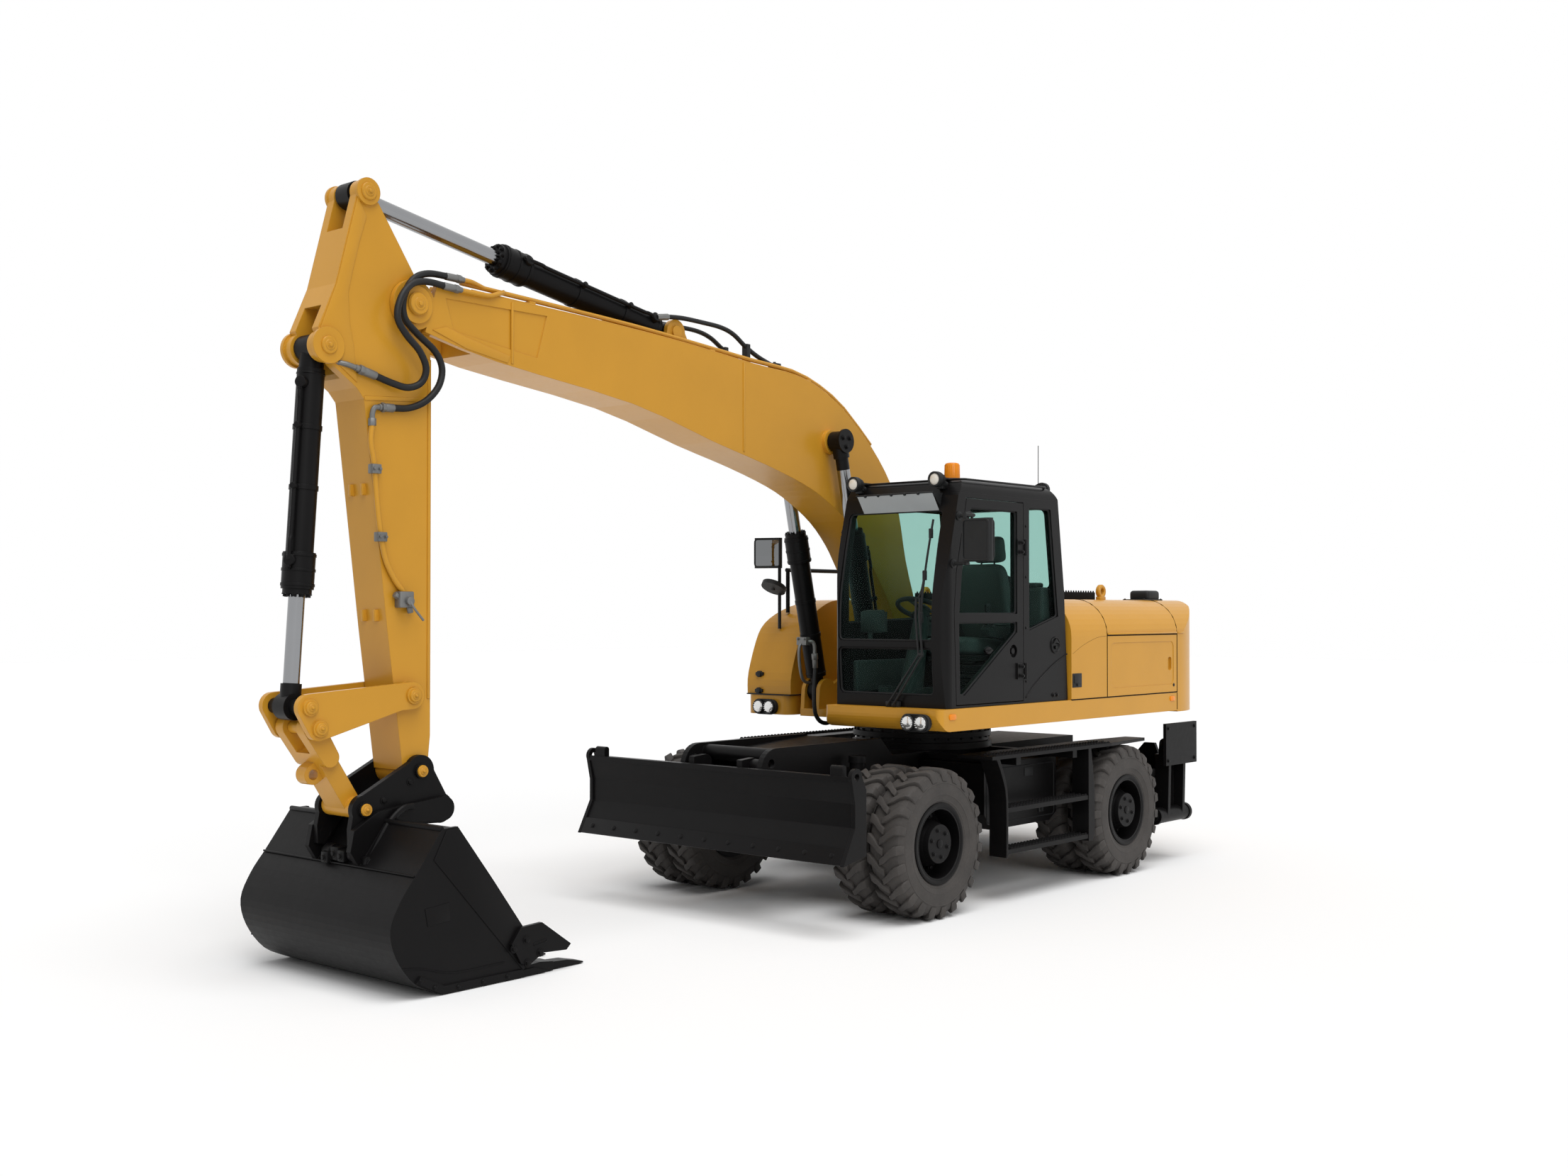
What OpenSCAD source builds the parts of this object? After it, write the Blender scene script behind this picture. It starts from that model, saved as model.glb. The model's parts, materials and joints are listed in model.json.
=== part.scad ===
// Wheeled excavator, parked with its bucket flat on the ground.
// Frame: origin on the ground under the swing axis, +X forward, +Y left, +Z up, millimetres.

/* [Running gear] */
// Tyre diameter over the lug tips
tyre_d = 1055; // [1000:5:1080]
// Width of one tyre
tyre_w = 278; // [260:1:290]
// Height of a tyre lug
lug_h = 22; // [14:1:28]
// Gap between the two tyres of a pair
twin_gap = 40; // [30:1:50]
// Width over the outer tyres
track_w = 2550; // [2500:10:2640]
// Front axle ahead of the swing axis
front_axle_x = 1500; // [1480:5:1520]
// Rear axle behind the swing axis
rear_axle_back = 1100; // [1080:5:1140]
// Radius of the wheel rim under the tyre
rim_r = 255; // [245:1:262]
// Distance of each kingpin from the centre plane
kingpin_y = 700; // [690:1:710]

/* [Chassis] */
// Width of the chassis box
frame_w = 780; // [740:2:790]
// Height of the chassis deck
deck_z = 1060; // [1060:1:1080]
// Diameter of the swing bearing
bearing_d = 1070; // [1000:5:1120]
// Height of the upper frame's underside
upper_z = 1300; // [1290:1:1320]
// Depth of each boarding step and running board
step_w = 250; // [200:5:280]
// Thickness of the blade plate
blade_t = 32; // [25:1:40]
// Width of the blade
blade_w = 2550; // [2450:10:2640]
// Radius of the blade's tie-down eye
tie_eye_r = 25; // [20:1:28]
// Width of an outrigger pad along the machine
pad_l = 550; // [500:5:560]

/* [House] */
// Width of the house over its side doors
house_w = 2550; // [2500:10:2600]
// Height of the upper frame's rail
rail_h = 157; // [140:1:170]
// Height of the hood's top
hood_z = 2240; // [2200:5:2300]
// Radius of the hood's shoulders
shoulder_r = 290; // [220:5:300]
// Tail radius of the counterweight
tail_r = 2650; // [2600:10:2700]
// Plan radius of the counterweight's rear corners
tail_corner_r = 650; // [600:10:700]
// Thickness of doors and covers
panel_t = 40; // [30:1:45]

/* [Cab] */
// Inner side of the cab from the centre plane
cab_in_y = 235; // [230:1:245]
// Outer side of the cab from the centre plane
cab_out_y = 1250; // [1230:1:1260]
// Thickness of the cab walls and door
cab_t = 60; // [50:1:66]
// Thickness of the glass
glass_t = 6; // [5:0.5:8]

/* [Arm] */
// Sideways place of the arm
arm_y = -300; // [-320:1:-290]
// Width of the boom
boom_w = 380; // [376:1:384]
// Width of the stick
stick_w = 290; // [280:1:292]
// Radius of the main arm pins
pin_r = 45; // [40:1:50]
// Width of the bucket
bucket_w = 1520; // [1400:10:1600]
// Thickness of the bucket's shell
shell_t = 26; // [20:1:32]
// Radius of the lifting eye in the power link
lift_eye_r = 30; // [25:1:34]

/* [Hidden] */
$fn = 48;

// Colours
paint = [0.78, 0.56, 0.16];
black = [0.09, 0.09, 0.10];
rubber = [0.16, 0.15, 0.14];
steel = [0.62, 0.63, 0.65];
tint = [0.45, 0.58, 0.52, 0.45];
amber = [0.95, 0.55, 0.05];
grey = [0.28, 0.30, 0.30];

// Clearances
run = 0.05;
slip = 0.1;
seat_gap = 0.3;
move_gap = 5;

// Wheels and axles
axle_z = tyre_d / 2;
rear_axle_x = -rear_axle_back;
outer_tyre_y = track_w / 2 - tyre_w / 2;
inner_tyre_y = outer_tyre_y - tyre_w - twin_gap;
rim_w = 230;
bead_w = 178;
rim_flange_r = rim_r + 25;
hub_r = 165;
hub_cap_r = 135;
hub_start_y = kingpin_y + 85;
spindle_r = 60;
spindle_l = 120;
spindle_start_y = hub_start_y - move_gap;
yoke_h = 130;
yoke_t = 45;
knuckle_r = 70;
axle_tube_r = 110;

// Chassis
frame_y = frame_w / 2;
bearing_z = deck_z + 50;
cheek_t = 45;
board_z = 1090;
board_t = 26;
step_out_y = 1270;
step_in_y = step_out_y - step_w;

// Blade linkage: lower and upper chassis pins, arm length and rise at rest
blade_low = [2050, 600];
blade_high = [2010, 800];
blade_arm_l = 408;
blade_rise = 40;
blade_arm_v = blade_arm_l * [cos(blade_rise), sin(blade_rise)];
blade_pin_r = 35;
blade_arm_in = frame_y - 135;
blade_arm_out = frame_y - cheek_t - move_gap;
blade_lug_t = 50;
blade_top = [2500, 1065];
blade_fold_high = [2455, 887];
blade_fold_low = [2455, 730];
blade_tip = [2575, 495];
tie_eye = [2450, 1062];

// Outriggers: pivot along X, and the pad's pin, in Y and Z
leg_pin = [1130, 400];
pad_pin = [1165, 1010];
outrigger_x0 = -2330;
outrigger_x1 = outrigger_x0 + pad_l;
leg_pin_r = 45;

// House
house_y = house_w / 2;
rail_z = upper_z + rail_h;
house_rear_x = -1930;
seam_x = -760;
seam_gap = 3;
shoulder_z = hood_z - shoulder_r;
cab_front_x = 1518;
right_front_x = 726;
slot_left_y = 225;
slot_right_y = -800;
slot_x = 350;

// Arm pins in X and Z
boom_foot = [0, 1850];
boom_ram_base = [605, 1500];
boom_ram_top = [1050, 3450];
stick_ram_base = [2640, 4110];
stick_ram_top = [5236, 4592];
stick_pin = [4927, 3970];
bucket_ram_base = [5501, 3662];
bucket_ram_top = [5639, 1604];
idler_pin = [4935, 1645];
link_pin = [5575, 1483];
tip_pin = [4873, 1194];
coupler_pin = [5267, 999];
hook_pin = [4730, 962];

// Arm widths
boom_y = boom_w / 2;
stick_y = stick_w / 2;
bracket_in = boom_y + move_gap;
bracket_t = 37;
ram_y = 290;
eye_w = 110;
ram_eye_in = ram_y - eye_w / 2;
ram_eye_out = ram_y + eye_w / 2;
ear_in = stick_y + move_gap;
ear_t = boom_y - ear_in;
idler_in = stick_y + move_gap + 10;
idler_t = 40;
coupler_in = stick_y + move_gap;
coupler_t = 40;

// Cylinder lengths: barrel from its base pin, and where each rod begins at rest
boom_barrel_l = 1300;
boom_rod_start = 680;
stick_barrel_l = 1560;
stick_rod_start = 915;
bucket_barrel_l = 1424;
bucket_rod_start = 545;
bore_start = 140;
boom_rod_r = 50;
stick_rod_r = 52;
bucket_rod_r = 47;

// Bucket
bucket_y = bucket_w / 2;
bucket_z = 5;

function arc(c, r, a0, a1, n = 10) =
    [for (i = [0:n]) c + r * [cos(a0 + (a1 - a0) * i / n), sin(a0 + (a1 - a0) * i / n)]];
function blend(a, b, c, d, t) =
    0.5 * (2 * b + (c - a) * t + (2 * a - 5 * b + 4 * c - d) * t * t + (3 * b - a - 3 * c + d) * t * t * t);
function at(p, i) = p[max(0, min(len(p) - 1, i))];
// Smooth curve through a few points
function smooth(p, n = 4) = concat(
    [for (i = [0:len(p) - 2], k = [0:n - 1]) blend(at(p, i - 1), p[i], p[i + 1], at(p, i + 2), k / n)],
    [p[len(p) - 1]]);
function reach(p, q, d) = p + (q - p) * d / norm(q - p);
function turned(v) = [-v[1], v[0]] / norm(v);

// Extrudes an X-Z outline between two Y planes
module side(y_a, y_b) {
    translate([0, y_b, 0]) rotate([90, 0, 0]) linear_extrude(y_b - y_a) children();
}

// Extrudes a Y-Z outline between two X planes
module front(x_a, x_b) {
    translate([x_a, 0, 0]) rotate([90, 0, 90]) linear_extrude(x_b - x_a) children();
}

// Extrudes an X-Y outline between two heights
module plan(z_a, z_b) {
    translate([0, 0, z_a]) linear_extrude(z_b - z_a) children();
}

module box(low, high) {
    translate(low) cube(high - low);
}

// Round bar across the machine at [x, z]
module pin_y(p, r, y_a, y_b) {
    translate([p[0], y_b, p[1]]) rotate([90, 0, 0]) cylinder(r = r, h = y_b - y_a);
}

// Round bar along the machine at [y, z]
module pin_x(p, r, x_a, x_b) {
    translate([x_a, p[0], p[1]]) rotate([0, 90, 0]) cylinder(r = r, h = x_b - x_a);
}

// Round bar between two X-Z points, at one Y
module bar(p, q, r, y) {
    translate([p[0], y, p[1]]) rotate([0, atan2(q[0] - p[0], q[1] - p[1]), 0]) cylinder(r = r, h = norm(q - p));
}

module disc(p, r) {
    translate(p) circle(r);
}

// Flat link outline between two round ends
module link(p, q, r_p, r_q) {
    n = turned(q - p);
    disc(p, r_p);
    disc(q, r_q);
    polygon([p + n * r_p, q + n * r_q, q - n * r_q, p - n * r_p]);
}

module round_rect(low, high, r) {
    translate(low + [r, 0]) square(high - low - [2 * r, 0]);
    translate(low + [0, r]) square(high - low - [0, 2 * r]);
    for (x = [low[0] + r, high[0] - r], y = [low[1] + r, high[1] - r]) disc([x, y], r);
}

module both_sides() {
    children();
    mirror([0, 1, 0]) children();
}

module on_arm() {
    translate([0, arm_y, 0]) children();
}

// Tyres: one closed ring of facets, its lugs slanting back from the middle of the tread

lug_count = 23;
tyre_steps = 2 * lug_count;
tyre_bead_r = (rim_r + slip) / cos(180 / tyre_steps);
tread_r = tyre_d / 2;
// Each ring: radius on a lug, radius in a groove, place across the tyre, slant in lug pitches
tyre_rings = [
    [tyre_bead_r, tyre_bead_r, -bead_w / 2, 0],
    [rim_flange_r + 95, rim_flange_r + 95, -tyre_w / 2, 0],
    [tread_r - 1.5 * lug_h, tread_r - 2.5 * lug_h, -tyre_w / 2 + 8, 0.55],
    [tread_r, tread_r - lug_h, -tyre_w * 0.3, 0.4],
    [tread_r, tread_r - lug_h, tyre_w * 0.3, -0.4],
    [tread_r - 1.5 * lug_h, tread_r - 2.5 * lug_h, tyre_w / 2 - 8, -0.55],
    [rim_flange_r + 95, rim_flange_r + 95, tyre_w / 2, 0],
    [tyre_bead_r, tyre_bead_r, bead_w / 2, 0]
];

module tyre(y) {
    rings = len(tyre_rings);
    points = [for (i = [0:tyre_steps - 1], ring = tyre_rings)
        let (a = (i + ring[3]) * 360 / tyre_steps, r = ring[i % 2])
        [r * cos(a), ring[2], r * sin(a)]];
    faces = [for (i = [0:tyre_steps - 1], k = [0:rings - 1])
        let (j = (i + 1) % tyre_steps, m = (k + 1) % rings)
        each [[i * rings + k, j * rings + k, j * rings + m], [i * rings + k, j * rings + m, i * rings + m]]];
    translate([0, y, 0]) polyhedron(points, faces);
}

module tyre_pair(x) {
    color(rubber) translate([x, 0, axle_z]) {
        tyre(inner_tyre_y);
        tyre(outer_tyre_y);
    }
}

module revolve_y() {
    rotate([-90, 0, 0]) rotate_extrude($fn = 64) children();
}

module rim_ring(y) {
    difference() {
        union() {
            translate([0, y - rim_w / 2]) square([rim_r, rim_w]);
            translate([0, y - rim_w / 2]) square([rim_flange_r, 15]);
            translate([0, y + rim_w / 2 - 15]) square([rim_flange_r, 15]);
        }
        translate([-1, y - rim_w / 2 - 1]) square([rim_r - 14, rim_w + 2]);
    }
}

module rim_pair(x) {
    disc_out_y = outer_tyre_y - 62;
    disc_in_y = inner_tyre_y + 62;
    cap_y = track_w / 2 - 22;
    color(black) translate([x, 0, axle_z]) difference() {
        union() {
            revolve_y() {
                rim_ring(inner_tyre_y);
                rim_ring(outer_tyre_y);
                translate([0, hub_start_y]) square([hub_r, cap_y - 90 - hub_start_y]);
                polygon([[0, cap_y - 90], [hub_r, cap_y - 90], [hub_cap_r + 8, cap_y - 40],
                    [hub_cap_r, cap_y], [0, cap_y]]);
                translate([0, disc_out_y]) square([rim_r - 5, 18]);
                translate([0, disc_in_y]) square([rim_r - 5, 18]);
                translate([0, disc_in_y]) square([rim_r - 40, disc_out_y - disc_in_y]);
            }
            for (a = [0:36:359]) rotate([0, a, 0]) pin_y([hub_r + 28, 0], 15, disc_out_y, disc_out_y + 50);
        }
        pin_y([0, 0], spindle_r + run, hub_start_y - 1, spindle_start_y + spindle_l + seat_gap);
        for (a = [0:72:359]) rotate([0, a + 18, 0]) pin_y([rim_r - 36, 0], 16, disc_out_y - 2, disc_out_y + 60);
    }
}

module tyres_front_left() { tyre_pair(front_axle_x); }
module tyres_front_right() { mirror([0, 1, 0]) tyre_pair(front_axle_x); }
module tyres_rear_left() { tyre_pair(rear_axle_x); }
module tyres_rear_right() { mirror([0, 1, 0]) tyre_pair(rear_axle_x); }
module rims_front_left() { rim_pair(front_axle_x); }
module rims_front_right() { mirror([0, 1, 0]) rim_pair(front_axle_x); }
module rims_rear_left() { rim_pair(rear_axle_x); }
module rims_rear_right() { mirror([0, 1, 0]) rim_pair(rear_axle_x); }

// Axles

module axle_housing(end_y) {
    revolve_y() polygon([[0, -end_y], [axle_tube_r - 20, -end_y], [axle_tube_r, -330], [150, -230], [185, -110],
        [185, 110], [150, 230], [axle_tube_r, 330], [axle_tube_r - 20, end_y], [0, end_y]]);
}

module front_axle() {
    web_y = kingpin_y - knuckle_r - 30;
    color(black) translate([front_axle_x, 0, axle_z]) {
        axle_housing(web_y);
        both_sides() {
            box([-72, web_y - 40, -yoke_h - yoke_t], [72, web_y, yoke_h + yoke_t]);
            for (z = [-yoke_h - yoke_t, yoke_h]) {
                translate([0, kingpin_y, z]) cylinder(r = knuckle_r, h = yoke_t);
                box([-knuckle_r, web_y - 1, z], [knuckle_r, kingpin_y, z + yoke_t]);
            }
        }
        // Cradle up to the chassis and the steering cylinder
        box([-130, -180, 120], [130, 180, deck_z - 340 - axle_z]);
        pin_y([-190, 95], 42, -260, 260);
        pin_y([-190, 95], 22, -470, 470);
        box([-200, -60, 62], [-100, 60, 130]);
    }
}

module knuckle() {
    color(black) translate([front_axle_x, 0, axle_z]) {
        translate([0, kingpin_y, -yoke_h + seat_gap]) cylinder(r = knuckle_r, h = 2 * (yoke_h - seat_gap));
        pin_y([0, 0], 118, kingpin_y + 30, spindle_start_y);
        pin_y([0, 0], spindle_r, spindle_start_y - 1, spindle_start_y + spindle_l);
        side(kingpin_y - 40, kingpin_y - 5) link([0, 92], [-190, 92], 32, 30);
    }
}

module knuckle_left() { knuckle(); }
module knuckle_right() { mirror([0, 1, 0]) knuckle(); }

module rear_axle() {
    color(black) translate([rear_axle_x, 0, axle_z]) {
        axle_housing(spindle_start_y - 40);
        both_sides() {
            pin_y([0, 0], 125, spindle_start_y - 60, spindle_start_y);
            pin_y([0, 0], spindle_r, spindle_start_y - 1, spindle_start_y + spindle_l);
            box([-110, 250, 90], [110, 370, deck_z - 340 - axle_z]);
        }
    }
}

module drive_line() {
    shaft_z = axle_z - 20;
    color(black) {
        box([rear_axle_x + 185 + seat_gap, -105, shaft_z - 100], [rear_axle_x + 240, 105, shaft_z + 100]);
        box([rear_axle_x + 239, -190, axle_z - 190], [rear_axle_x + 620, 190, axle_z + 27]);
        pin_x([0, shaft_z], 46, rear_axle_x + 618, rear_axle_x + 700);
        pin_x([0, shaft_z], 40, rear_axle_x + 690, front_axle_x - 240);
        pin_x([0, shaft_z], 60, front_axle_x - 250, front_axle_x - 185 - seat_gap);
    }
}

// Chassis

frame_low = deck_z - 340;
cheek_top = 1190;
tower_r = bearing_d / 2 + 30;
lock_x = front_axle_x - 30;
lock_y = frame_y + 110;

module cheek_outline() {
    difference() {
        union() {
            polygon(concat([[850, deck_z - 60], [1050, cheek_top]],
                arc([2240, cheek_top - 160], 160, 90, -10, 8),
                [[2270, 820], [2120, 640]], arc(blade_low, 75, 20, -160, 8), [[1900, frame_low], [850, frame_low]]));
        }
        disc([2290, 1085], 32);
    }
}

module chassis_frame() {
    box_y = leg_pin[0] - 90;
    color(black) {
        side(-frame_y, frame_y) polygon([[-1700, deck_z], [-1700, frame_low], [-700, frame_low], [-600, 560],
            [1000, 560], [1100, frame_low], [1900, frame_low], [1900, deck_z]]);
        translate([0, 0, deck_z - 1]) cylinder(r = tower_r, h = bearing_z - deck_z + 1, $fn = 96);
        both_sides() {
            side(frame_y - cheek_t, frame_y) cheek_outline();
            for (p = [blade_low, blade_high]) {
                pin_y(p, blade_pin_r, blade_arm_in - 20, frame_y - 1);
                pin_y(p, blade_pin_r + 20, blade_arm_in - 21, blade_arm_in - seat_gap);
            }
            box([1780, blade_arm_in - 60, 540], [2130, blade_arm_in - 20, 900]);
        }
        pin_y([2160, 1122], 55, -frame_y + 1, frame_y - 1);
        side(-frame_y + 1, frame_y - 1) polygon([[1050, 1176], [1050, 1160], [1890, 1100], [2120, 1100], [2120, 1116]]);
        // Locking cylinders of the front axle, on brackets beside the box
        both_sides() {
            translate([lock_x, lock_y, 660]) cylinder(r = 58, h = 385);
            translate([lock_x, lock_y, 1044]) cylinder(r = 66, h = 50);
            box([lock_x - 50, frame_y - 1, 860], [lock_x + 50, lock_y, 1000]);
        }
        // Outrigger carrier behind the rear axle
        box([outrigger_x0 + 60, -box_y + 140, 470], [-1690, box_y - 140, 760]);
        box([-1760, -frame_y, 470], [-1660, frame_y, frame_low + 60]);
        both_sides() {
            for (x = [outrigger_x0, outrigger_x1 - 36]) {
                front(x, x + 36) {
                    polygon([[560, 480], [leg_pin[0] - 20, 330], [leg_pin[0] + 62, 400], [1010, 620],
                        [860, 980], [760, 980], [560, 760]]);
                    disc(leg_pin, 75);
                }
            }
            pin_x(leg_pin, leg_pin_r, outrigger_x0 - 12, outrigger_x1 + 12);
        }
    }
}

module swing_bearing() {
    ring_r = bearing_d / 2;
    color(black) translate([0, 0, bearing_z]) difference() {
        union() {
            cylinder(r = ring_r, h = upper_z - seat_gap - bearing_z, $fn = 96);
            translate([0, 0, 40]) cylinder(r = ring_r + 24, h = 42, $fn = 96);
            for (a = [0:12:359]) {
                rotate(a) translate([ring_r + 2, 0, 24]) cylinder(r = 13, h = 76, $fn = 24);
            }
        }
        translate([0, 0, -1]) cylinder(r = ring_r - 170, h = 400, $fn = 96);
    }
}

// Boarding steps under the running board, carried by a bent front plate and a rear plate
module steps() {
    tread_t = 34;
    front_x = 690;
    rear_x = -480;
    color(black) {
        plan(board_z - board_t, board_z) polygon([[front_x + 180, step_in_y - 60], [front_x + 180, step_out_y],
            [-835, step_out_y], [-1500, step_out_y - 70], [-1500, step_in_y], [-835, step_in_y - 60]]);
        side(step_in_y + 100, step_out_y) polygon(concat([[front_x + 180, board_z - 1], [front_x + 80, board_z - 1]],
            smooth([[front_x + 80, board_z - board_t - 4], [front_x + 18, 930], [front_x - 24, 760], [front_x - 24, 340]], 3),
            [[front_x, 340]],
            smooth([[front_x, 340], [front_x, 760], [front_x + 50, 930], [front_x + 120, board_z - board_t - 6]], 3)));
        side(step_in_y + 100, step_out_y - 2) polygon([[rear_x, board_z - 2], [rear_x - 36, board_z - 2],
            [rear_x - 90, 760], [rear_x - 90, 400], [rear_x - 60, 340], [rear_x, 340]]);
        for (z = [395, 700]) {
            box([rear_x - 2, step_in_y + 120, z - tread_t], [front_x - 20, step_out_y - 6, z]);
        }
        for (x = [-350, 450]) {
            box([x, frame_y + seat_gap, deck_z - 57], [x + 60, step_in_y, deck_z - 10]);
            box([x, step_in_y - 50, deck_z - 57], [x + 60, step_out_y - 30, board_z - board_t + 1]);
        }
    }
}

module boarding_steps() { both_sides() steps(); }

// Tool box hung on the chassis between the axles
module tool_box() {
    color(black) side(frame_y + seat_gap, step_in_y - 20) polygon([[-430, 560], [-330, 500], [480, 500], [580, 620], [580, 1000],
        [-430, 1000]]);
}

module tool_boxes() { both_sides() tool_box(); }

// Blade on its parallel arms

module blade_arm_pair(p) {
    color(black) both_sides() side(blade_arm_in, blade_arm_out) difference() {
        link(p, p + blade_arm_v, 55, 52);
        disc(p, blade_pin_r + run);
        disc(p + blade_arm_v, blade_pin_r + run);
    }
}

module blade_lower_arms() { blade_arm_pair(blade_low); }
module blade_upper_arms() { blade_arm_pair(blade_high); }

module blade_profile() {
    back = [-blade_t, 0];
    polygon([blade_top, blade_fold_high, blade_fold_low, blade_tip, blade_tip + back, blade_fold_low + back,
        blade_fold_high + back, blade_top + back]);
    translate(blade_top - [blade_t + 26, 36]) square([blade_t + 26, 36]);
}

module dozer_blade() {
    end_t = 30;
    ear_r = 56;
    lip = 14;
    plate_deep = 100;
    shackle_room = 12;
    shackle_deep = 60;
    half = blade_w / 2;
    lug_in = blade_arm_in - seat_gap - blade_lug_t;
    color(black) {
        difference() {
            side(-half + end_t - 1, half - end_t + 1) blade_profile();
            // Room for a shackle behind each eye
            both_sides() side(half - end_t - shackle_deep, half) disc(tie_eye, tie_eye_r + shackle_room);
        }
        both_sides() {
            side(half - end_t, half) difference() {
                union() {
                    polygon([tie_eye + [-ear_r, 0], tie_eye + [-plate_deep, -90], blade_tip + [-225, 45],
                        blade_tip + [lip, 0], blade_fold_low + [lip, 0], blade_fold_high + [lip, 0],
                        tie_eye + [ear_r, 0]]);
                    disc(tie_eye, ear_r);
                }
                disc(tie_eye, tie_eye_r);
            }
            side(lug_in, blade_arm_in - seat_gap) for (p = [blade_low, blade_high]) {
                q = p + blade_arm_v;
                disc(q, 60);
                polygon([q + [0, 60], [blade_fold_high[0] - 10, q[1] + 50], [blade_fold_high[0] - 10, q[1] - 70],
                    q + [0, -60]]);
            }
            side(lug_in, blade_arm_in - seat_gap) translate([blade_fold_low[0] - 70, 800]) square([60, 260]);
            for (p = [blade_low, blade_high]) pin_y(p + blade_arm_v, blade_pin_r, lug_in + 1, blade_arm_out + 4);
            // Rubber stop on the top edge
            side(half - 190, half - 90) {
                translate([blade_top[0] - 52, blade_top[1] - 2]) square([46, 50]);
                disc([blade_top[0] - 29, blade_top[1] + 48], 23);
            }
        }
    }
}

// Outriggers

module leg() {
    x_a = outrigger_x0 + 36 + move_gap;
    x_b = outrigger_x1 - 36 - move_gap;
    mid = (x_a + x_b) / 2;
    color(black) difference() {
        union() {
            pin_x(leg_pin, 68, x_a, x_b);
            for (x = [mid - 150, mid + 110]) front(x, x + 40) link(leg_pin, pad_pin, 68, 48);
            front(mid - 150, mid + 150) translate([leg_pin[0] - 50, leg_pin[1] + 40]) square([34, 480]);
        }
        pin_x(leg_pin, leg_pin_r + run, x_a - 1, x_b + 1);
        pin_x(pad_pin, 26 + run, x_a - 1, x_b + 1);
    }
}

module outrigger_left() { leg(); }
module outrigger_right() { mirror([0, 1, 0]) leg(); }

module pad() {
    mid = (outrigger_x0 + outrigger_x1) / 2;
    face_y = 1250;
    color(black) {
        front(outrigger_x0, outrigger_x1) translate([face_y - 28, 835]) square([28, 355]);
        for (x = [mid - 104, mid + 64]) front(x, x + 40) {
            disc(pad_pin, 42);
            translate([pad_pin[0], pad_pin[1] - 42]) square([face_y - 20 - pad_pin[0], 84]);
        }
        pin_x(pad_pin, 26, mid - 152, mid + 152);
    }
}

module pad_left() { pad(); }
module pad_right() { mirror([0, 1, 0]) pad(); }

// House

// Y-Z outline of hood and side doors, set in by a wall
module hood_outline(in) {
    y = house_y - in;
    r = shoulder_r - in;
    c = house_y - shoulder_r;
    polygon(concat([[-y, rail_z], [y, rail_z]], arc([c, shoulder_z], r, 0, 90), arc([-c, shoulder_z], r, 90, 180)));
}

module upper_frame() {
    front_r = 45;
    color(paint) {
        intersection() {
            plan(upper_z, rail_z) {
                round_rect([house_rear_x, slot_left_y], [cab_front_x, house_y], front_r);
                round_rect([house_rear_x, -house_y], [right_front_x, slot_right_y], 90);
                translate([house_rear_x, -house_y]) square([600, house_w]);
                translate([house_rear_x, slot_right_y - 100]) square([slot_x - house_rear_x, slot_left_y - slot_right_y + 200]);
            }
            side(-house_y - 1, house_y + 1) polygon(concat([[house_rear_x - 1, upper_z]],
                arc([cab_front_x - 110, upper_z + 110], 110, -90, 0, 8), [[cab_front_x, rail_z], [house_rear_x - 1, rail_z]]));
        }
        on_arm() {
            both_sides() {
                side(bracket_in, bracket_in + bracket_t) {
                    polygon([[-330, rail_z - 20], [-330, 1640], [-110, 1960], [0, 2000], [110, 1960], [240, 1720],
                        [430, 1600], [520, 1560], boom_ram_base, boom_ram_base + [100, 0], [720, upper_z + 10], [slot_x, upper_z + 10]]);
                    disc(boom_foot, 150);
                    disc(boom_ram_base, 100);
                }
                side(ram_eye_out + move_gap, ram_eye_out + move_gap + bracket_t) {
                    polygon([[480, upper_z + 10], [505, 1500], [705, 1500], [720, upper_z + 10]]);
                    disc(boom_ram_base, 100);
                }
                pin_y(boom_ram_base, pin_r, bracket_in + 1, ram_eye_out + move_gap + bracket_t + 18);
                pin_y(boom_foot, pin_r + 40, bracket_in + bracket_t - 1, bracket_in + bracket_t + 26);
            }
            pin_y(boom_foot, pin_r + 15, -bracket_in - 1, bracket_in + 1);
            box([300, -ram_eye_out - move_gap - bracket_t, upper_z], [720, ram_eye_out + move_gap + bracket_t, upper_z + 60]);
        }
    }
}

module counterweight() {
    x_b = house_rear_x - seat_gap;
    color(paint) intersection() {
        plan(upper_z - 10, hood_z) intersection() {
            translate([-tail_r, 0]) round_rect([0, -house_y], [tail_r + x_b + 800, house_y], tail_corner_r);
            circle(tail_r, $fn = 160);
            translate([-tail_r, -house_y]) square([tail_r + x_b, house_w]);
        }
        side(-house_y, house_y) polygon(concat([[x_b, upper_z - 10]],
            arc([-tail_r + 60, upper_z + 50], 60, -90, -180, 6), [[-tail_r + 8, shoulder_z]],
            arc([-tail_r + 190, hood_z - 180], 180, 180, 90, 8), [[x_b, hood_z]]));
        front(-tail_r - 1, x_b + 1) union() {
            hood_outline(0);
            translate([-house_y, upper_z - 10]) square([house_w, rail_h + 11]);
        }
    }
}

// Fixed housing behind the cab and the boom's foot
module front_housing() {
    color(paint) intersection() {
        front(seam_x + seam_gap, -200) hood_outline(0);
        union() {
            box([seam_x, cab_in_y, rail_z], [-215, house_y + 1, hood_z + 1]);
            box([seam_x, slot_right_y + 2, rail_z], [-345, cab_in_y + 1, hood_z + 1]);
        }
    }
}

// Tank and storage body ahead of the right door, with a rounded bonnet
module right_box() {
    nose = [[right_front_x - 20, rail_z], [right_front_x - 30, 1640], [571, 1960], [420, 2120], [180, hood_z - 12], [-80, hood_z]];
    color(paint) intersection() {
        side(-house_y, slot_right_y) polygon(concat([[seam_x + seam_gap, rail_z]], smooth(nose, 4), [[seam_x + seam_gap, hood_z]]));
        front(seam_x, right_front_x) hood_outline(0);
    }
}

lid_x0 = -1640;
lid_x1 = -820;
lid_y = 760;

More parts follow.
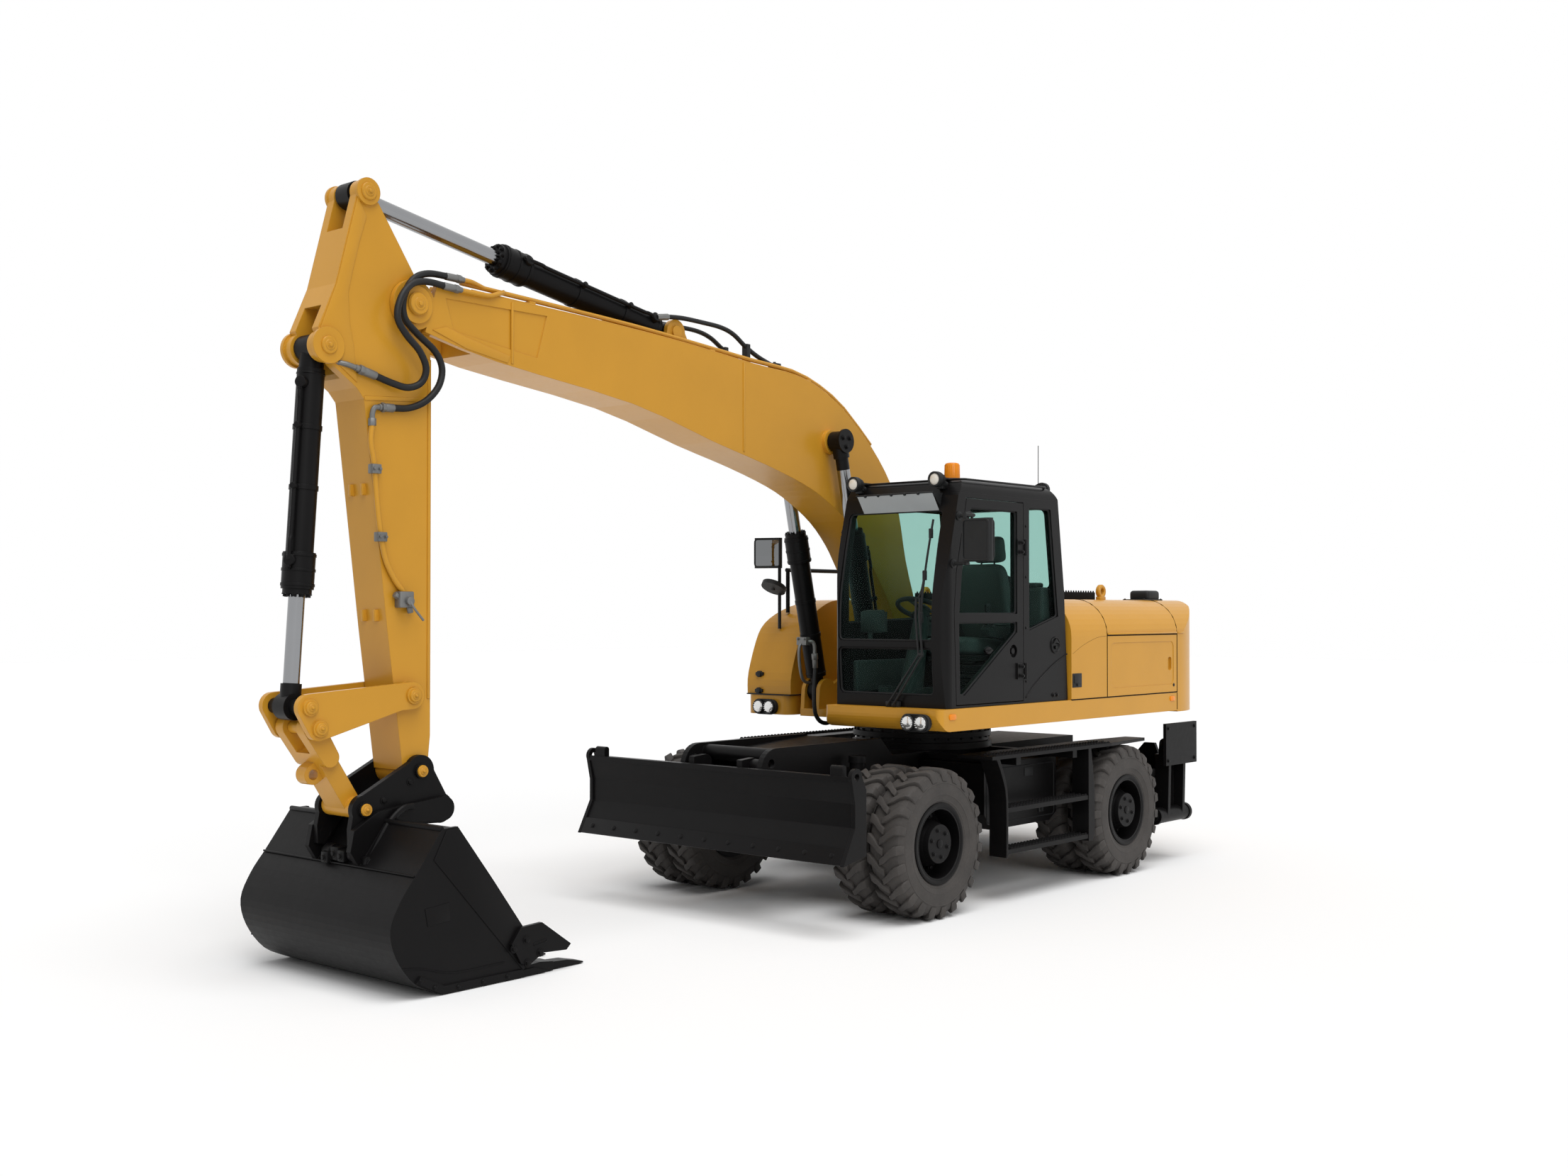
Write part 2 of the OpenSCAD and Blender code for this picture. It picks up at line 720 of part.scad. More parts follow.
// Shoulders of the hood on two bulkheads, with the lid's opening in the top
module engine_cover() {
    x_a = house_rear_x;
    x_b = seam_x;
    color(paint) difference() {
        union() {
            intersection() {
                front(x_a, x_b) difference() {
                    hood_outline(0);
                    hood_outline(panel_t);
                }
                box([x_a, -house_y, shoulder_z], [x_b, house_y, hood_z]);
            }
            for (x = [x_a, x_b - panel_t]) front(x, x + panel_t) {
                hood_outline(panel_t + move_gap);
                intersection() {
                    hood_outline(panel_t - 1);
                    translate([-house_y, shoulder_z]) square([house_w, shoulder_r]);
                }
            }
        }
        box([lid_x0 - move_gap, -lid_y - move_gap, hood_z - panel_t - 40], [lid_x1 + move_gap, lid_y + move_gap, hood_z + 1]);
    }
}

lid_hinge = [lid_x0 - 2, hood_z + 11 + seat_gap];

module hood_lid() {
    tread_t = 14;
    color(paint) {
        box([lid_x0, -lid_y, hood_z - panel_t], [lid_x1, lid_y, hood_z]);
        for (y = [-500, 440]) {
            pin_y(lid_hinge, 11, y, y + 60);
            box([lid_hinge[0], y, hood_z - 1], [lid_x0 + 90, y + 60, hood_z + 10]);
        }
    }
    // Walkway plate with raised treads
    color(black) {
        box([lid_x0 + 120, -lid_y + 60, hood_z - 1], [lid_x1 - 60, lid_y - 60, hood_z + 4]);
        for (x = [lid_x0 + 150:90:lid_x1 - 120], y = [-640:160:600]) {
            box([x, y, hood_z + 3], [x + 34, y + 60, hood_z + tread_t]);
        }
    }
}

module engine_block() {
    color(grey) {
        box([-1700, -480, rail_z], [-1000, 480, 1960]);
        box([-1560, -420, 1958], [-1140, 420, 2080]);
    }
}

module exhaust() {
    p = [-1755, -520];
    color(black) translate([p[0], p[1], hood_z + seat_gap]) {
        cylinder(r = 95, h = 14);
        difference() {
            union() {
                translate([0, 0, 13]) cylinder(r = 62, h = 50);
                translate([0, 0, 66]) rotate([0, -60, 0]) translate([0, 0, -30]) cylinder(r = 55, h = 130);
            }
            translate([0, 0, 66]) rotate([0, -60, 0]) translate([0, 0, 20]) cylinder(r = 47, h = 120);
        }
    }
}

// Side door between the house seams
module service_door() {
    x_a = house_rear_x + seam_gap;
    x_b = seam_x - seam_gap;
    color(paint) difference() {
        side(house_y - panel_t, house_y) translate([x_a, rail_z + seat_gap])
            square([x_b - x_a, shoulder_z - rail_z - seam_gap - seat_gap]);
        // Pressed field and handle recess
        side(house_y - 4, house_y + 1) round_rect([x_a + 60, rail_z + 70], [x_b - 60, shoulder_z - 60], 50);
        side(house_y - 26, house_y + 1) round_rect([x_a + 90, rail_z + 190], [x_a + 150, rail_z + 300], 20);
    }
}

module left_service_door() { service_door(); }
module right_service_door() { mirror([0, 1, 0]) service_door(); }

// Cab

roof_z = 2990;
cab_top = 3090;
cab_floor_z = rail_z + seat_gap;
pane_in = 22;
door_rear_x = 430;
door_gap = 6;
right_post_w = 50;
left_post_w = 115;

// Side outline of the cab, set in by a wall
module cab_side(in) {
    windscreen = smooth([[1400 - in, cab_floor_z + in], [1428 - in, 1900], [1408 - in, 2350], [1262 - in, 2970]], 5);
    polygon(concat(windscreen, arc([1130, cab_top - 100], 100 - in, 40, 90, 4),
        [[40, cab_top - in], [-60 + in, cab_top - 90 - in], [-150 + in, 2295], [-200 + in, cab_floor_z + in]]));
}

// Whole cab block with rounded upright corners and roof edges
module cab_block(in) {
    r = 95 - in;
    intersection() {
        side(cab_in_y + in, cab_out_y - in) cab_side(in);
        plan(cab_floor_z, cab_top) round_rect([-300 + in, cab_in_y + in], [1440 - in, cab_out_y - in], r);
        front(-400, 1600) union() {
            round_rect([cab_in_y + in, roof_z - 300], [cab_out_y - in, cab_top - in], 80 - in);
            translate([cab_in_y + in, cab_floor_z]) square([cab_out_y - cab_in_y - 2 * in, roof_z - 200 - cab_floor_z]);
        }
    }
}

function grown(p, g) = [for (q = p) q + g * [q[0] > 700 ? 1 : -1, q[1] > 2200 ? 1 : -1]];

module windscreen_cut(g) {
    front(1100, 1500) round_rect([cab_in_y + right_post_w - g, 1930 - g], [cab_out_y - left_post_w + g, 2870 + g], 40);
}
module lower_pane_cut(g) {
    front(1100, 1500) round_rect([cab_in_y + right_post_w - g, 1545 - g], [cab_out_y - left_post_w + g, 1885 + g], 40);
}
module rear_window_cut(g) {
    front(-350, 250) round_rect([cab_in_y + 90 - g, 2320 - g], [cab_out_y - 90 + g, 2930 + g], 50);
}
module right_window_cut(g) {
    side(cab_in_y - 5, cab_in_y + 90) polygon([[80 - g, 2930 + g], [-20 - g, 2250 - g], [60 - g, 2100 - g],
        [1300 + g, 2060 - g], [1300 + g, 2400 + g], [1190 + g, 2930 + g]]);
}
module quarter_window_cut(g) {
    side(cab_out_y - 90, cab_out_y + 5) polygon([[45 - g, 2920 + g], [-62 - g, 2105 - g], [345 + g, 2000 - g], [345 + g, 2920 + g]]);
}
module roof_window_cut(g) {
    plan(roof_z, cab_top + 5) round_rect([330 - g, cab_in_y + 130 - g], [1060 + g, cab_out_y - 340 + g], 60);
}
module door_outline(g) {
    polygon([[door_rear_x - g, 1480 - g], [1290 + g, 1480 - g], [1316 + g, 2150], [1290 + g, 2420], [1160 + g, 2950 + g],
        [door_rear_x - g, 2950 + g]]);
}
module door_glass_high(g) {
    side(cab_out_y - 90, cab_out_y + 5) polygon([[510 - g, 2125 - g], [1256 + g, 2125 - g], [1222 + g, 2420], [1110 + g, 2885 + g],
        [510 - g, 2885 + g]]);
}
module door_glass_low(g) {
    side(cab_out_y - 90, cab_out_y + 5) polygon([[510 - g, 2065 + g], [510 - g, 1990 - g], [1190 + g, 1545 - g], [1246 + g, 1550 - g],
        [1258 + g, 2065 + g]]);
}

module cab_cuts(g) {
    windscreen_cut(g);
    lower_pane_cut(g);
    rear_window_cut(g);
    right_window_cut(g);
    quarter_window_cut(g);
}

module cab_shell() {
    color(black) difference() {
        cab_block(0);
        cab_block(cab_t);
        cab_cuts(0);
        side(cab_out_y - cab_t - 5, cab_out_y + 5) door_outline(door_gap);
        box([-400, 0, roof_z], [1600, 1400, cab_top + 1]);
    }
}

module cab_roof() {
    color(black) difference() {
        intersection() {
            cab_block(0);
            box([-400, 0, roof_z], [1600, 1400, cab_top + 1]);
        }
        cab_block(cab_t);
        roof_window_cut(0);
    }
}

module cab_glass() {
    color(tint) {
        intersection() {
            difference() {
                cab_block(pane_in);
                cab_block(pane_in + glass_t);
            }
            union() cab_cuts(-slip);
        }
        intersection() {
            plan(cab_top - pane_in - glass_t, cab_top - pane_in) square([1500, 1400]);
            roof_window_cut(-slip);
        }
    }
}

module cab_door() {
    color(black) {
        difference() {
            side(cab_out_y - cab_t, cab_out_y) door_outline(0);
            door_glass_high(0);
            door_glass_low(0);
            pin_y([560, 1850], 48, cab_out_y - 22, cab_out_y + 5);
        }
        // Hinge leaves on the rear edge and the grab handle
        for (z = [1640, 2560]) {
            box([door_rear_x, cab_out_y - 1, z], [door_rear_x + 90, cab_out_y + 12, z + 120]);
            box([door_rear_x - 10, cab_out_y + 3, z], [door_rear_x + 5, cab_out_y + 12, z + 120]);
            translate([door_rear_x - 10, cab_out_y + 14 + seat_gap, z]) cylinder(r = 14, h = 120);
        }
        pin_y([560, 1850], 22, cab_out_y - 30, cab_out_y - 4);
    }
}

module cab_door_glass() {
    color(tint) intersection() {
        box([0, cab_out_y - pane_in - glass_t, 1400], [1500, cab_out_y - pane_in, 3100]);
        union() {
            door_glass_high(-slip);
            door_glass_low(-slip);
        }
    }
}

cab_mid_y = (cab_in_y + cab_out_y) / 2;
inner_floor_z = cab_floor_z + cab_t;

module cab_seat() {
    color(grey) translate([0, cab_mid_y - 20, 0]) {
        box([190, -180, inner_floor_z], [560, 180, 1800]);
        side(-250, 250) polygon(concat([[160, 1799], [640, 1799]], arc([640, 1865], 66, -90, 90, 6), [[160, 1925]]));
        side(-240, 240) polygon(smooth([[190, 1900], [150, 2150], [70, 2480], [110, 2520], [170, 2480], [265, 2150], [300, 1920]], 4));
        side(-140, 140) polygon(smooth([[80, 2500], [40, 2700], [90, 2730], [140, 2690], [160, 2500]], 4));
    }
}

module cab_controls() {
    color(grey) {
        // Armrest consoles with joysticks beside the seat
        for (y = [cab_mid_y - 355, cab_mid_y + 240]) {
            side(y, y + 75) polygon([[180, 1760], [180, 2010], [560, 2040], [600, 2010], [580, 1960], [300, 1920], [300, 1760]]);
            translate([545, y + 37, 2030]) cylinder(r1 = 26, r2 = 18, h = 150);
        }
        box([200, cab_mid_y - 290, 1700], [300, cab_mid_y - 200 - seat_gap, 1790]);
        box([200, cab_mid_y + 160 + seat_gap, 1700], [300, cab_mid_y + 250, 1790]);
        for (y = [cab_mid_y - 355, cab_mid_y + 240]) box([200, y, 1700], [300, y + 75, 1765]);
        // Steering column, wheel and pedals
        intersection() {
            translate([1130, cab_mid_y - 20, inner_floor_z]) rotate([0, -14, 0]) cylinder(r1 = 90, r2 = 55, h = 640);
            box([800, cab_in_y, inner_floor_z + seat_gap], [1300, cab_out_y, 2300]);
        }
        translate([970, cab_mid_y - 20, inner_floor_z + 640]) rotate([0, -24, 0]) {
            rotate_extrude($fn = 64) translate([190, 0]) circle(16);
            for (a = [0, 120, 240]) rotate(a) translate([0, -18, -8]) cube([188, 36, 16]);
            translate([0, 0, -60]) cylinder(r = 48, h = 70);
        }
        for (y = [cab_mid_y - 230, cab_mid_y + 120]) box([1080, y, inner_floor_z + seat_gap], [1240, y + 90, inner_floor_z + 70]);
        // Monitor on the right post
        box([1120, cab_in_y + right_post_w + seat_gap, 1990], [1160, cab_in_y + cab_t + 210, 2140]);
    }
}

module mirrors() {
    tube_r = 13;
    tube_y = cab_out_y + 130;
    mirror_x = 1374;
    stalk_y = -house_y + 225;
    color(black) {
        // Left mirror on two arms from the front post
        for (p = [[1330, 2480], [1262, 2820]]) {
            pin_y(p, tube_r, cab_out_y + seat_gap, tube_y);
            bar(p, [mirror_x, p[1]], tube_r, tube_y);
        }
        translate([mirror_x, tube_y, 2480 - tube_r]) cylinder(r = tube_r, h = 340 + 2 * tube_r);
        plan(2490, 2790) round_rect([mirror_x - 33, tube_y - 5], [mirror_x + 33, tube_y + 230], 30);
        // Right mirrors on a stalk from the right box
        translate([560, stalk_y, 1999.6]) cylinder(r = 14, h = 560.4);
        translate([560, stalk_y, 2540]) rotate([0, 60, 0]) cylinder(r = 13, h = 190);
        translate([700, stalk_y, 2620]) rotate([0, 0, 20]) plan(-120, 130) round_rect([-28, -120], [28, 120], 26);
        translate([640, stalk_y, 2330]) rotate([0, -30, 0]) cylinder(r = 105, h = 36);
        translate([560, stalk_y, 2330]) rotate([0, 90, 0]) cylinder(r = 12, h = 90);
    }
}

// Twin round lamps in one pod at a front corner of the rail
module lamp_pod(x, y, turn) {
    translate([x, y, upper_z + 62]) rotate([0, 0, turn]) {
        color(black) rotate([90, 0, 90]) linear_extrude(34) round_rect([-120, -60], [120, 60], 59);
        color(steel) for (s = [-56, 56]) translate([33, s, 0]) rotate([0, 90, 0]) cylinder(r1 = 48, r2 = 44, h = 18);
    }
}

// Round work lamp ahead of the roof's edge on a flat bracket
module work_lamp(x, y, turn) {
    arm_l = 190;
    translate([x, y, cab_top + seat_gap]) rotate([0, 0, turn]) {
        color(black) {
            box([-40, -22, 0], [arm_l, 22, 12]);
            translate([arm_l - 60, 0, -4]) rotate([0, 90, 0]) cylinder(r1 = 34, r2 = 54, h = 80);
        }
        color(steel) translate([arm_l + 19, 0, -4]) rotate([0, 90, 0]) cylinder(r = 47, h = 8);
    }
}

module lamps() {
    lamp_pod(cab_front_x + seat_gap, house_y - 195, 0);
    lamp_pod(right_front_x + seat_gap, -house_y + 237, 0);
    work_lamp(1110, cab_in_y + 110, 0);
    work_lamp(1110, cab_out_y - 164, 0);
    work_lamp(110, cab_out_y - 155, 180);
}

module beacon() {
    p = [1000, cab_out_y - 240, cab_top + seat_gap];
    color(black) translate(p) cylinder(r = 66, h = 20);
    color(amber) translate(p + [0, 0, 19]) rotate_extrude($fn = 64) polygon(concat([[0, 0], [58, 0], [58, 16]],
        arc([36, 101], 20, 0, 90, 6), [[0, 121]]));
}

// Tube rail over the right front body
module handrails() {
    rail_r = 17;
    rail_y = -house_y + 195;
    top_z = hood_z + 250;
    feet = [[-380, hood_z - 10.5], [420, hood_z - 108]];
    color(black) {
        for (foot = feet) translate([foot[0], rail_y, foot[1]]) cylinder(r = rail_r, h = top_z - foot[1]);
        pin_x([rail_y, top_z], rail_r, feet[0][0] - rail_r, feet[1][0] + rail_r);
    }
}

// Arm

boom_top_edge = [[4760, 4130], [4308, 4107], [3390, 4068], [2640, 4022], [1908, 3955], [1450, 3925], [1150, 3850], [864, 3713],
    [521, 3452], [272, 3174], [157, 2918], [70, 2560], [-60, 2200], [-140, 1900]];
boom_bottom_edge = [[140, 1870], [290, 2200], [502, 2492], [639, 2675], [831, 2850], [1090, 3000], [1353, 3108], [1784, 3227],
    [2341, 3353], [3140, 3549], [4305, 3700], [4850, 3815]];

module boom_outline() {
    polygon(concat(smooth(boom_top_edge, 3), smooth(boom_bottom_edge, 3)));
    disc(boom_foot, 140);
    disc(stick_pin, 150);
}

module boom() {
    color(paint) on_arm() difference() {
        union() {
            side(-boom_y, boom_y) boom_outline();
            both_sides() {
                pin_y(boom_ram_top, 95, boom_y - 1, ram_y - boom_rod_r - 12 - move_gap);
                side(70, 105) {
                    disc(stick_ram_base, 88);
                    polygon([stick_ram_base + [-88, 0], stick_ram_base + [-150, -110], stick_ram_base + [108, -100], stick_ram_base + [88, 0]]);
                }
                pin_y(stick_pin, 115, boom_y - 1, boom_y + 22);
                pin_y(stick_pin, 70, boom_y + 21, boom_y + 40);
            }
            pin_y(stick_ram_base, pin_r, -120, 120);
        }
        pin_y(boom_foot, pin_r + 15 + run, -boom_y - 1, boom_y + 1);
        // Fork at the tip that takes the stick
        side(-ear_in, ear_in) difference() {
            polygon([[4480, 4300], [4480, 3500], [5200, 3500], [5200, 4300]]);
            disc(stick_pin, 0.01);
        }
        // Recessed field near the tip on each side
        both_sides() side(boom_y - 8, boom_y + 1) polygon([[3900, 4040], [3980, 3760], [4640, 3850], [4700, 4040]]);
    }
    color(paint) on_arm() pin_y(stick_pin, pin_r + 10, -boom_y + 1, boom_y - 1);
}

// Two oil pipes along the top of the boom
boom_pipe_route = [[4560, 4160], [3390, 4104], [2800, 4066], [1908, 3992], [1450, 3962], [1130, 3880], [830, 3735], [490, 3475]];

// Pipe along an X-Z route at one Y, swept as one closed tube
module pipe(route, r, y) {
    sides = 8;
    last = len(route) - 1;
    points = [for (i = [0:last], k = [0:sides - 1])
        let (n = turned(at(route, i + 1) - at(route, i - 1)), a = k * 360 / sides)
        [route[i][0] + n[0] * r * cos(a), y + r * sin(a), route[i][1] + n[1] * r * cos(a)]];
    walls = [for (i = [0:last - 1], k = [0:sides - 1])
        let (m = (k + 1) % sides)
        each [[i * sides + k, i * sides + m, (i + 1) * sides + m], [i * sides + k, (i + 1) * sides + m, (i + 1) * sides + k]]];
    ends = [[for (k = [sides - 1:-1:0]) k], [for (k = [0:sides - 1]) last * sides + k]];
    polyhedron(points, concat(walls, ends));
}

module boom_pipes() {
    route = smooth(boom_pipe_route, 2);
    pipe_y = boom_y - 40;
    color(paint) on_arm() {
        for (y = [-pipe_y, pipe_y]) {
            pipe(route, 16, y);
            // Clamps on the boom's top plate
            for (i = [1, 5, 9]) {
                p = route[i];
                box([p[0] - 25, y - 30, p[1] - 44], [p[0] + 25, y + 30, p[1] - 15]);
            }
        }
    }
}

// Hydraulic cylinder barrel from its base pin towards its rod's eye
module barrel(p, q, y, r, l, rod_r, half_w) {
    tip = reach(p, q, l);
    color(black) difference() {
        union() {
            pin_y(p, 78, y - half_w, y + half_w);
            bar(reach(p, q, 40), reach(p, q, 130), half_w - 2, y);
            bar(reach(p, q, 125), tip, r, y);
            bar(reach(p, q, l - 240), reach(p, q, l - 30), r + 14, y);
            bar(reach(p, q, l - 60), tip, r + 4, y);
        }
        pin_y(p, pin_r + run, y - half_w - 1, y + half_w + 1);
        bar(reach(p, q, bore_start), reach(p, q, l + 1), rod_r + slip, y);
    }
}

// Rod with its eye; the eye's pin stands between the lugs and doesn't touch them
module rod(p, q, y, r, start, half_w, cap_a, cap_b) {
    color(steel) bar(reach(p, q, start), reach(p, q, norm(q - p) - 30), r, y);
    color(black) {
        pin_y(q, 78, y - half_w, y + half_w);
        bar(reach(p, q, norm(q - p) - 130), reach(p, q, norm(q - p) - 40), r + 12, y);
    }
    color(paint) pin_y(q, pin_r, y + cap_a, y + cap_b);
}

module boom_barrels() {
    on_arm() for (s = [-1, 1]) barrel(boom_ram_base, boom_ram_top, s * ram_y, 80, boom_barrel_l, boom_rod_r, eye_w / 2);
}

module boom_rods() {
    on_arm() both_sides() {
        rod(boom_ram_base, boom_ram_top, ram_y, boom_rod_r, boom_rod_start, eye_w / 2, -eye_w / 2, eye_w / 2 + 12);
        color(black) pin_y(boom_ram_top, 92, ram_eye_out - 1, ram_eye_out + 16);
    }
}

stick_eye_y = 60;

module stick_barrel() {
    on_arm() barrel(stick_ram_base, stick_ram_top, 0, 92, stick_barrel_l, stick_rod_r, 70 - move_gap);
}

module stick_rod() {
    on_arm() rod(stick_ram_base, stick_ram_top, 0, stick_rod_r, stick_rod_start, stick_eye_y, -80 + move_gap, 80 - move_gap);
}

stick_back = [[4800, 1150], [4775, 1400], [4775, 3600], [4790, 3800], [4800, 4010], [4894, 4147], [5157, 4543]];
stick_front = [[5305, 4570], [5446, 4025], [5560, 3760]];
stick_low_front = [[5470, 3560], [5300, 3440], [5250, 3380], [5175, 2780], [5085, 2050], [4970, 1200]];

module stick_outline() {
    polygon(concat(stick_back, stick_front, stick_low_front));
    disc(stick_ram_top, 74);
    disc(bucket_ram_base, 92);
    disc(tip_pin, 88);
    disc(idler_pin, 80);
}

module stick() {
    color(paint) on_arm() difference() {
        union() {
            side(-stick_y, stick_y) stick_outline();
            both_sides() {
                pin_y(idler_pin, 85, stick_y - 1, stick_y + move_gap);
                pin_y(idler_pin, 50, stick_y, idler_in + idler_t + 14);
                pin_y(bucket_ram_base, 105, stick_y - 1, stick_y + 24);
                pin_y(stick_ram_top, 80, stick_y - 1, stick_y + 20);
            }
        }
        pin_y(stick_pin, pin_r + 10 + run, -stick_y - 1, stick_y + 1);
        pin_y(tip_pin, pin_r + run, -stick_y - 1, stick_y + 1);
        // Slots between the ears for the two cylinders
        side(-80, 80) polygon([[4900, 4330], [5160, 4400], [5200, 4340], [5420, 4380], [5420, 4750], [4900, 4750]]);
        side(-84, 84) polygon([[5352, 3900], [5380, 3520], [5330, 3300], [5800, 3300], [5800, 3900]]);
    }
    color(paint) on_arm() pin_y(bucket_ram_base, pin_r, -stick_y + 1, stick_y - 1);
}

module bucket_barrel() {
    on_arm() barrel(bucket_ram_base, bucket_ram_top, 0, 78, bucket_barrel_l, bucket_rod_r, 72);
}

rod_eye_y = 58;

module bucket_rod() {
    on_arm() rod(bucket_ram_base, bucket_ram_top, 0, bucket_rod_r, bucket_rod_start, rod_eye_y, -idler_in + move_gap, idler_in - move_gap);
}

module idler_links() {
    color(paint) on_arm() both_sides() {
        side(idler_in, idler_in + idler_t) difference() {
            union() {
                link(idler_pin, bucket_ram_top, 80, 76);
                link(bucket_ram_top, link_pin, 76, 70);
                link(idler_pin, link_pin, 60, 70);
            }
            disc(idler_pin, 50 + run);
        }
        for (p = [bucket_ram_top, link_pin]) pin_y(p, 48, idler_in + idler_t - 1, idler_in + idler_t + 18);
    }
    color(paint) on_arm() pin_y(link_pin, 36, -idler_in - 1, idler_in + 1);
}

function on_link(t) = link_pin + (coupler_pin - link_pin) * t;
link_body_r = 56;
lift_eye = on_link(0.46) + turned(coupler_pin - link_pin) * (link_body_r + lift_eye_r + 8);

module power_link() {
    fork_in = rod_eye_y + 10;
    fork_out = coupler_in - move_gap;
    color(paint) on_arm() difference() {
        union() {
            side(-fork_out, fork_out) link(link_pin, on_link(0.36), 66, link_body_r);
            side(-95, 95) link(on_link(0.3), on_link(0.98), link_body_r, link_body_r);
            pin_y(on_link(0.98), 62, -fork_out, fork_out);
            side(-45, 45) link(on_link(0.46), lift_eye, link_body_r, lift_eye_r + 28);
        }
        pin_y(link_pin, 36 + run, -fork_out - 1, fork_out + 1);
        side(-fork_in, fork_in) disc(link_pin, 150);
        pin_y(lift_eye, lift_eye_r, -60, 60);
    }
}

bucket_pin = [5305, 845];
bucket_pin_r = 34;
hook_r = 30;

module coupler_outline() {
    disc(tip_pin, 95);
    disc(coupler_pin, 85);
    disc(hook_pin, 90);
    polygon([tip_pin + [-95, 0], tip_pin + [0, 95], coupler_pin + [60, 60], bucket_pin + [55, 45], bucket_pin + [50, -60],
        bucket_pin + [0, -72], [5165, 958], [5030, 958], [4960, 930], [4900, 880], hook_pin + [20, -88], hook_pin + [-88, 0]]);
}

// Coupler plates on the stick's tip, gripping the bucket's two pins
module quick_coupler() {
    color(black) on_arm() difference() {
        union() {
            both_sides() side(coupler_in, coupler_in + coupler_t) coupler_outline();
            side(-coupler_in - 1, coupler_in + 1) {
                polygon([[4790, 960], [4800, 1000], [5040, 1000], [5040, 962], [4905, 945]]);
                disc(hook_pin, 60);
            }
        }
        pin_y(hook_pin, hook_r + slip, -coupler_in - coupler_t - 1, coupler_in + coupler_t + 1);
        both_sides() pin_y(bucket_pin, bucket_pin_r + slip, coupler_in - 1, coupler_in + coupler_t + 1);
    }
    color(paint) on_arm() {
        pin_y(tip_pin, pin_r, -coupler_in - coupler_t - 16, coupler_in + coupler_t + 16);
        both_sides() pin_y(coupler_pin, pin_r, coupler_in + 1, coupler_in + coupler_t + 16);
    }
}

bucket_lip = [4470, bucket_z];
bucket_heel = [5155, bucket_z];
bucket_back_edge = smooth([[5155, bucket_z], [5330, 90], [5455, 250], [5492, 410], [5425, 560], [5332, 680]], 4);
bucket_hinge = [5150, 925];

module bucket_side_outline() {
    polygon(concat([[4545, bucket_z]], bucket_back_edge, [bucket_hinge, [5040, 930], [4783, 594], [4560, 292], [4545, 120]]));
}

// Inside of the shell, open to the front
module bucket_inside() {
    t = shell_t;
    polygon(concat([[4300, bucket_z + t + 6]],
        [for (p = smooth([[5150, bucket_z], [5330, 90], [5455, 250], [5492, 410], [5425, 560], [5332, 680]], 4))
            p + t * [-0.9, p[1] < 150 ? 1 : p[1] > 560 ? -0.6 : 0]],
        [bucket_hinge + t * [-1, -1.1], [4950, 1000], [4300, 700]]));
}

module tooth(y) {
    side(y - 62, y + 62) polygon([[4540, 62], [4430, 70], [4330, 58], [4330, bucket_z], [4540, bucket_z]]);
    side(y - 45, y + 45) polygon([[4345, 52], [4200, 44], [4076, 16], [4076, bucket_z + 2], [4345, bucket_z + 2]]);
}

module bucket() {
    tooth_count = 5;
    color(black) on_arm() {
        difference() {
            side(-bucket_y, bucket_y) bucket_side_outline();
            side(-bucket_y + shell_t, bucket_y - shell_t) bucket_inside();
        }
        // Cutting edge with its teeth
        side(-bucket_y - 6, bucket_y + 6) polygon([[4400, bucket_z], [4400, 22], [4480, 46], [4570, 46], [4570, bucket_z]]);
        for (i = [0:tooth_count - 1]) tooth((i - (tooth_count - 1) / 2) * (bucket_w - 130) / (tooth_count - 1));
        both_sides() {
            side(bucket_y - 1, bucket_y + 26) polygon([[4669, 210], [4600, 300], [4440, 308], [4215, 150], [4250, 118], [4430, 128],
                [4537, 72], [4600, 90]]);
            side(bucket_y - 1, bucket_y + 14) polygon([[4560, bucket_z + 2], [5155, bucket_z + 2], [5330, 95], [5300, 130], [5140, 52], [4580, 52]]);
            // Ears that hang the bucket on the coupler
            side(coupler_in + coupler_t + seat_gap, coupler_in + coupler_t + 42) {
                disc(hook_pin, 72);
                polygon([hook_pin + [0, 72], [5060, 1000], [5200, 985], bucket_pin + [60, 45], bucket_pin + [85, -75],
                    bucket_back_edge[len(bucket_back_edge) - 1], [5110, 865], [5060, 905], [4940, 900], hook_pin + [10, -71]]);
            }
            pin_y(bucket_pin, bucket_pin_r, coupler_in, coupler_in + coupler_t + 41);
        }
        pin_y(hook_pin, hook_r, -coupler_in - coupler_t - 41, coupler_in + coupler_t + 41);
    }
}

chassis_frame();
swing_bearing();
front_axle();
rear_axle();
drive_line();
boarding_steps();
tool_boxes();
knuckle_left();
knuckle_right();
tyres_front_left();
tyres_front_right();
tyres_rear_left();
tyres_rear_right();
rims_front_left();
rims_front_right();
rims_rear_left();
rims_rear_right();
blade_lower_arms();
blade_upper_arms();
dozer_blade();
outrigger_left();
outrigger_right();
pad_left();
pad_right();
upper_frame();
counterweight();
front_housing();
right_box();
engine_cover();
engine_block();
exhaust();
hood_lid();
left_service_door();
right_service_door();
cab_shell();
cab_roof();
cab_glass();
cab_seat();
cab_controls();
cab_door();
cab_door_glass();
mirrors();
lamps();
beacon();
handrails();
boom();
boom_pipes();
boom_barrels();
boom_rods();
stick();
stick_barrel();
stick_rod();
bucket_barrel();
bucket_rod();
idler_links();
power_link();
quick_coupler();
bucket();
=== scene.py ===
"""Dresses a wheeled excavator: paint, rubber, glass, hoses, cab fittings and small hardware on its solids."""

